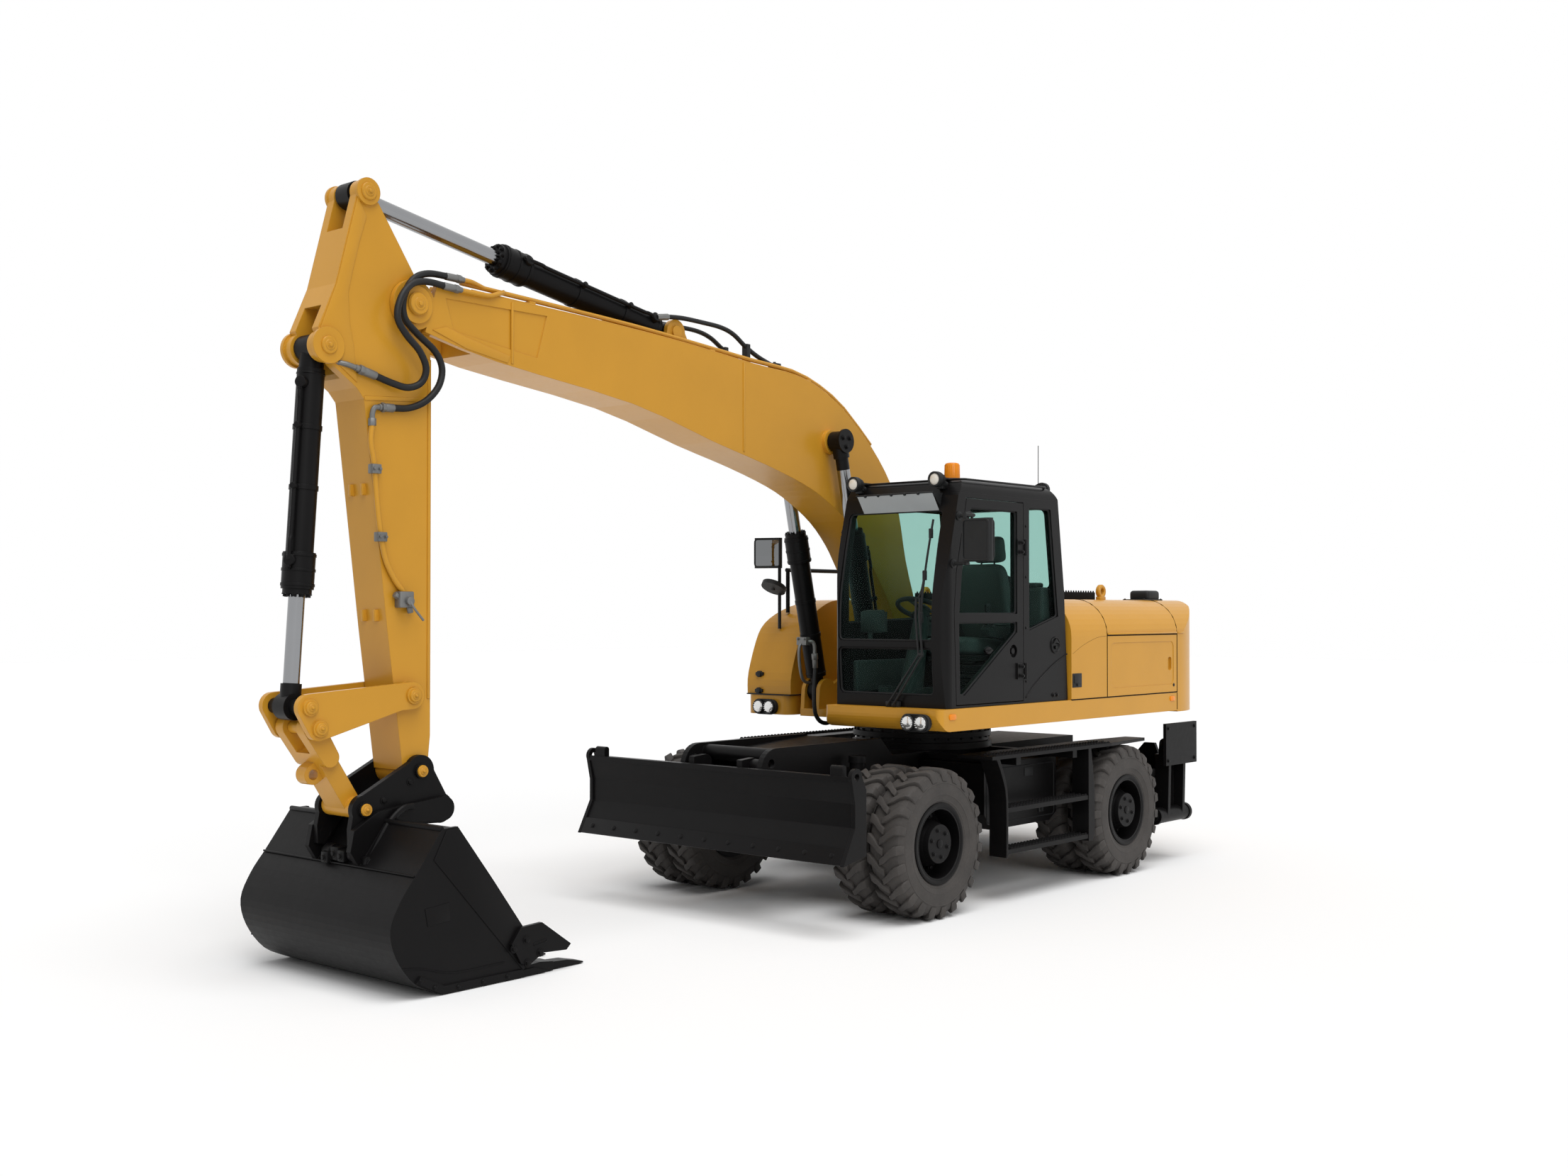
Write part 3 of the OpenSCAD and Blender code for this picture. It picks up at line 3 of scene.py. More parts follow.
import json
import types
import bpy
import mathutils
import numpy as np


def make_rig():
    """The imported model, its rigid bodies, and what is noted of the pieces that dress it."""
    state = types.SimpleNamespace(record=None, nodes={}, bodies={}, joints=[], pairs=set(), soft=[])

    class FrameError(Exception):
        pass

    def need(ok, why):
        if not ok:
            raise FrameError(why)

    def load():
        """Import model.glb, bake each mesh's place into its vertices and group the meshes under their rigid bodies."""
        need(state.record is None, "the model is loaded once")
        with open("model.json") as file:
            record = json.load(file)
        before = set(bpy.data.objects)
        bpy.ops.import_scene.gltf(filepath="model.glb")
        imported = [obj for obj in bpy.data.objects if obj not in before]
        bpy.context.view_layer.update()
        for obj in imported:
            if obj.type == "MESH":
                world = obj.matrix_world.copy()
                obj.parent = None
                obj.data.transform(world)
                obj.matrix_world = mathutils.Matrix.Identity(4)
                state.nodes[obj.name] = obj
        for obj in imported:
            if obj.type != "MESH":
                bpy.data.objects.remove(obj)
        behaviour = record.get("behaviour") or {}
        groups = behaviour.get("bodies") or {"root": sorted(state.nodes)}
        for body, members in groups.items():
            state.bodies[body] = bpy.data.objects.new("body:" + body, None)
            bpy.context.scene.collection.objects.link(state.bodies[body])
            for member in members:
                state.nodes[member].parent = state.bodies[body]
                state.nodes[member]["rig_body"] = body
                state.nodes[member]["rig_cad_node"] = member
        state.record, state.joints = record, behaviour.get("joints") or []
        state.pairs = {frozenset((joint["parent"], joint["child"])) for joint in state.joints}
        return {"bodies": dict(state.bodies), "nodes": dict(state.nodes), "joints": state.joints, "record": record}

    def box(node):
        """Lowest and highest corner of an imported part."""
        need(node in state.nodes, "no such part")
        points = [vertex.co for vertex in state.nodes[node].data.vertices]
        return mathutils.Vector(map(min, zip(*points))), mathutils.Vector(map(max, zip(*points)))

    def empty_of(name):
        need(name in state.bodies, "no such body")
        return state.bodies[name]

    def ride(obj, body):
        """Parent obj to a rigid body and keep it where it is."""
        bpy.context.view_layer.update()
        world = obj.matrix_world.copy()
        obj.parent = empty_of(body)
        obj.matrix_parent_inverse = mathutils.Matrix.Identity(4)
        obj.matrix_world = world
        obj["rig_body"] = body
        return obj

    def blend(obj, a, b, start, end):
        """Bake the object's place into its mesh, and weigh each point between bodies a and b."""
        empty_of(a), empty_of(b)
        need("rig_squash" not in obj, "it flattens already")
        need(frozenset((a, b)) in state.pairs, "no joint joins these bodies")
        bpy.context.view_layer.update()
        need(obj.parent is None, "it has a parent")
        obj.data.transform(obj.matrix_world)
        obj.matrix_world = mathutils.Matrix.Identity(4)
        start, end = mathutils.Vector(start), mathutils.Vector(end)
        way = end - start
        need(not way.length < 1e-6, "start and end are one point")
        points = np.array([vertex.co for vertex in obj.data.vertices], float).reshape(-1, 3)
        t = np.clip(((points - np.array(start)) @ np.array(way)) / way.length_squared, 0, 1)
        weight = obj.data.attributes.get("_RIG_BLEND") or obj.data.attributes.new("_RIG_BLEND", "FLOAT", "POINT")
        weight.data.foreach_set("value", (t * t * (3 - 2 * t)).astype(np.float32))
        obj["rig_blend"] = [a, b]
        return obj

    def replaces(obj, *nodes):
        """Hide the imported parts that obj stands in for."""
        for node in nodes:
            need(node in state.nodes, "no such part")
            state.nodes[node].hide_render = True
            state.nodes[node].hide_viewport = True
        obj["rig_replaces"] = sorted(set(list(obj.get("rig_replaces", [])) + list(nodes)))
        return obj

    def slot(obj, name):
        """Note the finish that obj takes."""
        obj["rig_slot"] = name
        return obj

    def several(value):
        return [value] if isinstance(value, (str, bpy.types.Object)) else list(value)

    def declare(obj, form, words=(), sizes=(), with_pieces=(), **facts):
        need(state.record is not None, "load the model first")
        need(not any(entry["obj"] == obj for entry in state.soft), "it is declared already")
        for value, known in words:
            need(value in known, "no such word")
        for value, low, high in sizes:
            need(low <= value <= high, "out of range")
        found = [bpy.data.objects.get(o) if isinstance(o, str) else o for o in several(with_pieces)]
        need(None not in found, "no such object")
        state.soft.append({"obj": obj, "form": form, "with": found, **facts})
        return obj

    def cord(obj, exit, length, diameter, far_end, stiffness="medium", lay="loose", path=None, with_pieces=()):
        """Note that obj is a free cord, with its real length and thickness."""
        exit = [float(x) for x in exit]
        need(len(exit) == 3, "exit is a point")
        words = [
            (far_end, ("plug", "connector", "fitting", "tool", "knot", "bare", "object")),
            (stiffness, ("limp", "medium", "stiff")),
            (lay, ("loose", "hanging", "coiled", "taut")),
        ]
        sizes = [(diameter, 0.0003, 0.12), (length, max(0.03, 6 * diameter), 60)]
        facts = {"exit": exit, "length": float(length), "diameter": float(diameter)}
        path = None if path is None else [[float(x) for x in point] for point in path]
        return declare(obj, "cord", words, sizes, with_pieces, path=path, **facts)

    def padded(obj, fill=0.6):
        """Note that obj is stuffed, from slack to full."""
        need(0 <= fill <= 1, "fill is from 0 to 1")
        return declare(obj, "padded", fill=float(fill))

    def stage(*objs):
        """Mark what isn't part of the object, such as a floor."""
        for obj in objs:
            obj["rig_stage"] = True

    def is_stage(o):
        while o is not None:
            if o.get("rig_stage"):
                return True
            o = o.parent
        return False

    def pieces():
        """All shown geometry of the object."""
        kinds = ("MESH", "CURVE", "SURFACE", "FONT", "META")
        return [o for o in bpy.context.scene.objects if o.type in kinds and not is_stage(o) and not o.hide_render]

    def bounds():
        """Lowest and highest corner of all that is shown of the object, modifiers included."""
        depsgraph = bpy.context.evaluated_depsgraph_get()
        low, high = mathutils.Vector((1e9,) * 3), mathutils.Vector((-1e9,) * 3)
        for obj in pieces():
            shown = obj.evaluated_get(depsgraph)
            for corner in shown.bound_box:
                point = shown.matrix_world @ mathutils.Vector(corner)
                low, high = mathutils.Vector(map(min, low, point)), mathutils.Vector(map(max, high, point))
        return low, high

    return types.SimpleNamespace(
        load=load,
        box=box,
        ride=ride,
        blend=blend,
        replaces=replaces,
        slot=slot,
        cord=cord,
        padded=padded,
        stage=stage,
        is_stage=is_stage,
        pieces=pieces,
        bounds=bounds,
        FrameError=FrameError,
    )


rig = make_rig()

bl_info = {
    "name": "Wheeled excavator dressing",
    "version": (1, 0, 0),
    "blender": (4, 5, 0),
    "location": "View3D > Sidebar > Excavator",
    "description": "Builds the finishes, hoses, tyres and fittings of a wheeled excavator around its solids",
    "category": "Object",
}

import json
import math

import bmesh
import bpy
from mathutils import Matrix, Vector

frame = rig.load()
CAD_BOX = [list(corner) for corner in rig.bounds()]
NODES = frame["nodes"]
SIZE_FILE = "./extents.json"
FORWARD = Vector((1, 0, 0))
LEFT = Vector((0, 1, 0))
UP = Vector((0, 0, 1))
MIRROR_Y = Matrix.Scale(-1, 4, LEFT)
ARM_MIDDLE = -0.3
# Angles of three bolts round a cap
THREE_TURNS = (0.5, 2.6, 4.7)


# Object tools


def deselect():
    if bpy.context.object and bpy.context.object.mode != "OBJECT":
        bpy.ops.object.mode_set(mode="OBJECT")
    bpy.ops.object.select_all(action="DESELECT")


def make_active(obj):
    deselect()
    obj.select_set(True)
    bpy.context.view_layer.objects.active = obj
    return obj


def apply_place(obj):
    make_active(obj)
    bpy.ops.object.transform_apply(location=True, rotation=True, scale=True)
    return obj


def apply_modifier(obj, kind, **settings):
    modifier = obj.modifiers.new(kind.title(), kind)
    for key, value in settings.items():
        setattr(modifier, key, value)
    make_active(obj)
    bpy.ops.object.modifier_apply(modifier=modifier.name)
    return obj


def round_edges(obj, width, segments=2, angle=32):
    return apply_modifier(
        obj, "BEVEL", width=width, segments=segments, limit_method="ANGLE", angle_limit=math.radians(angle)
    )


def edit_all(obj):
    make_active(obj)
    bpy.ops.object.mode_set(mode="EDIT")
    bpy.ops.mesh.select_all(action="SELECT")


def leave_edit():
    bpy.ops.object.mode_set(mode="OBJECT")


def face_outwards(obj):
    edit_all(obj)
    bpy.ops.mesh.remove_doubles(threshold=0.00002)
    bpy.ops.mesh.normals_make_consistent(inside=False)
    leave_edit()
    return obj


def joined(objs):
    deselect()
    for obj in objs:
        obj.select_set(True)
    bpy.context.view_layer.objects.active = objs[0]
    if len(objs) > 1:
        bpy.ops.object.join()
    return objs[0]


def copied(obj, matrix=None):
    """Copy with its own mesh, moved by a matrix."""
    twin = obj.copy()
    twin.data = obj.data.copy()
    bpy.context.scene.collection.objects.link(twin)
    if matrix is not None:
        twin.data.transform(matrix)
        if matrix.determinant() < 0:
            twin.data.flip_normals()
    return twin


# Shapes


def block(low, high, edge=0.004, segments=2):
    low, high = Vector(low), Vector(high)
    deselect()
    bpy.ops.mesh.primitive_cube_add(size=1, location=(low + high) / 2)
    obj = bpy.context.object
    obj.scale = high - low
    apply_place(obj)
    if edge:
        round_edges(obj, edge, segments)
    return obj


def along(p, q):
    """Matrix that puts local Z from p towards q."""
    p, q = Vector(p), Vector(q)
    return Matrix.Translation(p) @ (q - p).to_track_quat("Z", "Y").to_matrix().to_4x4()


def bar(p, q, radius, sides=24, edge=0.003, radius_end=None):
    """Round bar, or a taper, from p to q."""
    length = (Vector(q) - Vector(p)).length
    deselect()
    bpy.ops.mesh.primitive_cone_add(
        vertices=sides,
        radius1=radius,
        radius2=radius if radius_end is None else radius_end,
        depth=length,
        location=(0, 0, length / 2),
    )
    obj = apply_place(bpy.context.object)
    if edge:
        round_edges(obj, edge)
    obj.data.transform(along(p, q))
    return obj


def bolt(p, axis, size=0.016, height=0.012):
    """Hexagon bolt head on a washer; size is across its corners."""
    p, axis = Vector(p), Vector(axis).normalized()
    washer = bar(p - axis * 0.004, p + axis * 0.003, size * 0.72, 16, 0)
    head = bar(p, p + axis * height, size / 2, 6, 0.0015)
    return joined([washer, head])


def plate(points, low, high, edge=0.003):
    """Flat plate from an outline in X and Z, between two places along Y."""
    curve = bpy.data.curves.new("plate", "CURVE")
    curve.dimensions = "2D"
    curve.fill_mode = "BOTH"
    curve.extrude = (high - low) / 2 - edge
    curve.bevel_depth = edge
    curve.bevel_resolution = 1
    curve.offset = -edge
    spline = curve.splines.new("POLY")
    spline.points.add(len(points) - 1)
    for point, (u, v) in zip(spline.points, points):
        point.co = (u, v, 0, 1)
    spline.use_cyclic_u = True
    obj = bpy.data.objects.new("plate", curve)
    bpy.context.scene.collection.objects.link(obj)
    make_active(obj)
    bpy.ops.object.convert(target="MESH")
    obj = bpy.context.object
    middle = (low + high) / 2
    obj.data.transform(Matrix(((1, 0, 0, 0), (0, 0, -1, middle), (0, 1, 0, 0), (0, 0, 0, 1))))
    return face_outwards(obj)


def smooth_path(points, steps=8):
    """Smooth curve through a few points."""
    points = [Vector(p) for p in points]
    ends = [points[0] * 2 - points[1]] + points + [points[-1] * 2 - points[-2]]
    path = []
    for i in range(1, len(ends) - 2):
        a, b, c, d = ends[i - 1 : i + 3]
        for k in range(steps):
            t = k / steps
            square = 2 * a - 5 * b + 4 * c - d
            cube = 3 * b - a - 3 * c + d
            path.append(0.5 * (2 * b + (c - a) * t + square * t**2 + cube * t**3))
    return path + [points[-1]]


def tube(points, radius, steps=8, sides=3, closed_loop=False):
    """Round tube along a smooth path."""
    path = smooth_path(points, steps) if steps > 1 else [Vector(p) for p in points]
    curve = bpy.data.curves.new("tube", "CURVE")
    curve.dimensions = "3D"
    curve.bevel_depth = radius
    curve.bevel_resolution = sides
    curve.use_fill_caps = not closed_loop
    spline = curve.splines.new("POLY")
    spline.points.add(len(path) - 1)
    for point, co in zip(spline.points, path):
        point.co = (*co, 1)
    spline.use_cyclic_u = closed_loop
    obj = bpy.data.objects.new("tube", curve)
    bpy.context.scene.collection.objects.link(obj)
    make_active(obj)
    bpy.ops.object.convert(target="MESH")
    return face_outwards(bpy.context.object)


def lathe(profile, p, q, steps=48):
    """Turned piece: profile points are (radius, distance from p towards q)."""
    deselect()
    bpy.ops.mesh.primitive_circle_add(vertices=len(profile), radius=1)
    obj = bpy.context.object
    bpy.ops.object.mode_set(mode="EDIT")
    mesh = bmesh.from_edit_mesh(obj.data)
    for vert, (radius, height) in zip(mesh.verts, profile):
        vert.co = (radius, 0, height)
    mesh.edges.ensure_lookup_table()
    closing = [e for e in mesh.edges if {v.index for v in e.verts} == {0, len(profile) - 1}]
    if profile[0] != profile[-1] and closing and profile[0][0] == 0 and profile[-1][0] == 0:
        bmesh.ops.delete(mesh, geom=closing, context="EDGES_FACES")
    bmesh.update_edit_mesh(obj.data)
    bpy.ops.mesh.select_all(action="SELECT")
    bpy.ops.mesh.spin(steps=steps, angle=2 * math.pi, center=(0, 0, 0), axis=(0, 0, 1))
    leave_edit()
    face_outwards(obj)
    obj.data.transform(along(p, q))
    return obj


def loft(sections):
    """Closed piece through sections of equally many points, extruded from one to the next."""
    count = len(sections[0])
    deselect()
    bpy.ops.mesh.primitive_circle_add(vertices=count, radius=1, fill_type="NGON")
    obj = bpy.context.object
    bpy.ops.object.mode_set(mode="EDIT")
    mesh = bmesh.from_edit_mesh(obj.data)
    for vert, co in zip(mesh.verts, sections[0]):
        vert.co = co
    bmesh.update_edit_mesh(obj.data)
    for before, section in zip(sections, sections[1:]):
        bpy.ops.mesh.extrude_region_move()
        mesh = bmesh.from_edit_mesh(obj.data)
        for vert in [v for v in mesh.verts if v.select]:
            index = min(range(count), key=lambda i: (vert.co - Vector(before[i])).length_squared)
            vert.co = section[index]
        bmesh.update_edit_mesh(obj.data)
    leave_edit()
    return face_outwards(obj)


def blocks(*rows):
    return [block(*row) for row in rows]


def bars(*rows):
    return [bar(*row) for row in rows]


def bolts(axis, size, height, spots):
    return [bolt(spot, axis, size, height) for spot in spots]


def ring_of(make, count, start=0.0):
    """Like pieces at equal angles, made by a function of the angle and joined."""
    return joined([make(start + 2 * math.pi * i / count) for i in range(count)])


def at_x(outline, x):
    return [(x, p[0], p[1]) for p in outline]


def at_y(outline, y):
    return [(p[0], y, p[1]) for p in outline]


def at_z(outline, z):
    return [(p[0], p[1], z) for p in outline]


def rounded(points, radius, steps=4):
    """Outline with its corners rounded; works in two or three dimensions."""
    points = [Vector(p) for p in points]
    path = []
    for before, corner, after in zip(points[-1:] + points[:-1], points, points[1:] + points[:1]):
        start = corner + (before - corner).normalized() * min(radius, (before - corner).length / 2)
        end = corner + (after - corner).normalized() * min(radius, (after - corner).length / 2)
        for k in range(steps + 1):
            t = k / steps
            path.append(start * (1 - t) ** 2 + corner * 2 * t * (1 - t) + end * t**2)
    return path


def rectangle(left, low, right, high, radius, steps=4):
    """Outline of a rectangle with rounded corners."""
    return rounded([(left, low), (right, low), (right, high), (left, high)], radius, steps)


def frame_tube(points, radius, corner=0.0):
    """Closed tube round an outline, as a gasket or a bent frame."""
    path = rounded(points, corner) if corner else points
    return tube(path, radius, 1, 2, closed_loop=True)


def pad(size, crown, bolster=0.0, grooves=(), cuts=22):
    """Crowned cushion about the origin: X is its length, Y its width and Z its top."""
    deselect()
    bpy.ops.mesh.primitive_cube_add(size=2)
    obj = bpy.context.object
    edit_all(obj)
    bpy.ops.mesh.subdivide(number_cuts=cuts)
    leave_edit()
    power = 5
    for vert in obj.data.vertices:
        u, v, w = vert.co
        round_off = (abs(u) ** power + abs(v) ** power + abs(w) ** power) ** (1 / power)
        x, y, z = u / round_off, v / round_off, w / round_off
        pull_x = 1 - 0.035 * (1 - y * y)
        pull_y = 1 - 0.035 * (1 - x * x)
        lift = 0.0
        if w > 0:
            lift = crown * (1 - x * x) * (1 - y * y)
            lift += bolster * max(0.0, (abs(y) - 0.6) / 0.4) * (1 - abs(y) ** 8)
            for axis, place, width, depth in grooves:
                offset = (x if axis == "x" else abs(y)) - place
                lift -= depth * math.exp(-((offset / width) ** 2))
        vert.co = (size[0] / 2 * x * pull_x, size[1] / 2 * y * pull_y, size[2] / 2 * z + lift * max(0.0, z))
    return obj


# Finishes


def bare_material(name):
    material = bpy.data.materials.new(name)
    material.use_nodes = True
    tree = material.node_tree
    shader = tree.nodes["Principled BSDF"]
    return material, tree, shader


def add_node(tree, kind, **inputs):
    node = tree.nodes.new(kind)
    for key, value in inputs.items():
        node.inputs[key.replace("_", " ")].default_value = value
    return node


def object_noise(tree, scale, detail=3.0, roughness=0.55):
    coords = tree.nodes.new("ShaderNodeTexCoord")
    noise = add_node(tree, "ShaderNodeTexNoise", Scale=scale, Detail=detail, Roughness=roughness)
    tree.links.new(coords.outputs["Object"], noise.inputs["Vector"])
    return noise


def mottled(tree, noise, dark, light):
    ramp = tree.nodes.new("ShaderNodeValToRGB")
    ramp.color_ramp.elements[0].position = 0.3
    ramp.color_ramp.elements[0].color = (*dark, 1)
    ramp.color_ramp.elements[1].position = 0.7
    ramp.color_ramp.elements[1].color = (*light, 1)
    tree.links.new(noise.outputs["Fac"], ramp.inputs["Fac"])
    return ramp


def rough_range(tree, noise, shader, low, high):
    spread = add_node(tree, "ShaderNodeMapRange", To_Min=low, To_Max=high)
    tree.links.new(noise.outputs["Fac"], spread.inputs["Value"])
    tree.links.new(spread.outputs["Result"], shader.inputs["Roughness"])


def bumpy(tree, noise, shader, strength, distance):
    bump = add_node(tree, "ShaderNodeBump", Strength=strength, Distance=distance)
    tree.links.new(noise.outputs["Fac"], bump.inputs["Height"])
    tree.links.new(bump.outputs["Normal"], shader.inputs["Normal"])
    return bump


def surface(
    name, color, vary, rough, peel_scale, peel, mottle_scale=2.5, metallic=0.0, coat=0.0, coat_rough=0.1,
    shine=0.5, soft=0.0,
):
    """Finish with slow colour drift, uneven gloss and a fine skin."""
    material, tree, shader = bare_material(name)
    dark = [c * (1 - vary) for c in color]
    light = [min(1, c * (1 + vary)) for c in color]
    ramp = mottled(tree, object_noise(tree, mottle_scale, 4), dark, light)
    tree.links.new(ramp.outputs["Color"], shader.inputs["Base Color"])
    rough_range(tree, object_noise(tree, mottle_scale * 9, 3), shader, *rough)
    bump = bumpy(tree, object_noise(tree, peel_scale, 2), shader, peel, 0.002)
    if soft:
        rounding = add_node(tree, "ShaderNodeBevel", Radius=soft)
        tree.links.new(rounding.outputs["Normal"], bump.inputs["Normal"])
    shader.inputs["Metallic"].default_value = metallic
    shader.inputs["Specular IOR Level"].default_value = shine
    shader.inputs["Coat Weight"].default_value = coat
    shader.inputs["Coat Roughness"].default_value = coat_rough
    material.diffuse_color = (*color, 1)
    return material


def glass_material(name, color):
    """Thin tinted pane: clear through, with a mirror sheen at grazing angles."""
    material, tree, shader = bare_material(name)
    clear = add_node(tree, "ShaderNodeBsdfTransparent", Color=(*color, 1))
    gloss = add_node(tree, "ShaderNodeBsdfGlossy", Color=(1, 1, 1, 1), Roughness=0.02)
    facing = add_node(tree, "ShaderNodeLayerWeight", Blend=0.35)
    sheen = add_node(tree, "ShaderNodeMapRange", From_Min=0.55, To_Min=0.003, To_Max=0.25)
    tree.links.new(facing.outputs["Facing"], sheen.inputs["Value"])
    mix = tree.nodes.new("ShaderNodeMixShader")
    tree.links.new(sheen.outputs["Result"], mix.inputs["Fac"])
    tree.links.new(clear.outputs["BSDF"], mix.inputs[1])
    tree.links.new(gloss.outputs["BSDF"], mix.inputs[2])
    tree.links.new(mix.outputs["Shader"], tree.nodes["Material Output"].inputs["Surface"])
    tree.nodes.remove(shader)
    material.diffuse_color = (*color, 0.4)
    return material


def two_tone(name, start, end, limit, bright, dark):
    """Polished rod from start towards end; past the limit its eye is painted."""
    material, tree, shader = bare_material(name)
    way = (Vector(end) - Vector(start)).normalized()
    coords = tree.nodes.new("ShaderNodeTexCoord")
    place = tree.nodes.new("ShaderNodeVectorMath")
    place.operation = "DOT_PRODUCT"
    place.inputs[1].default_value = way
    tree.links.new(coords.outputs["Object"], place.inputs[0])
    past = tree.nodes.new("ShaderNodeMath")
    past.operation = "GREATER_THAN"
    past.inputs[1].default_value = way.dot(Vector(start)) + limit
    tree.links.new(place.outputs["Value"], past.inputs[0])
    tone = tree.nodes.new("ShaderNodeMath")
    tone.operation = "MULTIPLY_ADD"
    tone.inputs[1].default_value = 0.2
    tree.links.new(object_noise(tree, 9).outputs["Fac"], tone.inputs[0])
    shift = add_node(tree, "ShaderNodeMapRange", To_Max=0.8)
    tree.links.new(past.outputs["Value"], shift.inputs["Value"])
    tree.links.new(shift.outputs["Result"], tone.inputs[2])
    ramp = tree.nodes.new("ShaderNodeValToRGB")
    ramp.color_ramp.elements[0].color = (*[c * 0.94 for c in bright], 1)
    ramp.color_ramp.elements[1].color = (*dark, 1)
    ramp.color_ramp.elements.new(0.2).color = (*bright, 1)
    ramp.color_ramp.elements.new(0.8).color = (*[c * 0.85 for c in dark], 1)
    tree.links.new(tone.outputs["Value"], ramp.inputs["Fac"])
    tree.links.new(ramp.outputs["Color"], shader.inputs["Base Color"])
    ranges = (("Metallic", 1.0, 0.0), ("Roughness", 0.17, 0.4), ("Specular IOR Level", 0.5, 0.15))
    for socket, low, high in ranges:
        pick = add_node(tree, "ShaderNodeMapRange", To_Min=low, To_Max=high)
        tree.links.new(past.outputs["Value"], pick.inputs["Value"])
        tree.links.new(pick.outputs["Result"], shader.inputs[socket])
    return material


# Rod, its cylinder's base pin and eye pin, and how far along the paint starts
ROD_PAINT = (
    ("boom_rods", (0.605, 0, 1.5), (1.05, 0, 3.45), 1.78),
    ("stick_rod", (2.64, 0, 4.11), (5.236, 0, 4.592), 2.51),
    ("bucket_rod", (5.501, 0, 3.662), (5.639, 0, 1.604), 1.93),
)
ROD_COLOR = (0.3, 0.305, 0.315)
FINISHES = {}


class ExcavatorColours(bpy.types.PropertyGroup):
    """Colours that a user would change."""

    body: bpy.props.FloatVectorProperty(
        name="Body", description="Enamel of house and arm", subtype="COLOR", size=3,
        default=(0.56, 0.27, 0.022),
    )
    frame: bpy.props.FloatVectorProperty(
        name="Frame", description="Enamel of chassis, cab and bucket", subtype="COLOR", size=3,
        default=(0.0045, 0.0042, 0.0044),
    )
    rubber: bpy.props.FloatVectorProperty(
        name="Rubber", description="Tyre rubber", subtype="COLOR", size=3, default=(0.036, 0.0315, 0.0285)
    )
    glass: bpy.props.FloatVectorProperty(
        name="Glass", description="Tint of the panes", subtype="COLOR", size=3, default=(0.74, 0.855, 0.83)
    )


class ExcavatorSizes(bpy.types.PropertyGroup):
    """Sizes that a user would change."""

    hose: bpy.props.FloatProperty(
        name="Hose", description="Radius of the arm's hoses", unit="LENGTH", default=0.021, min=0.01, max=0.03
    )
    lug: bpy.props.FloatProperty(
        name="Lug", description="Height of the tyre lugs", unit="LENGTH", default=0.024, min=0.015, max=0.03
    )
    floor: bpy.props.FloatProperty(
        name="Floor", description="Half width of the studio floor", unit="LENGTH",
        default=60.0, min=20.0, max=120.0,
    )


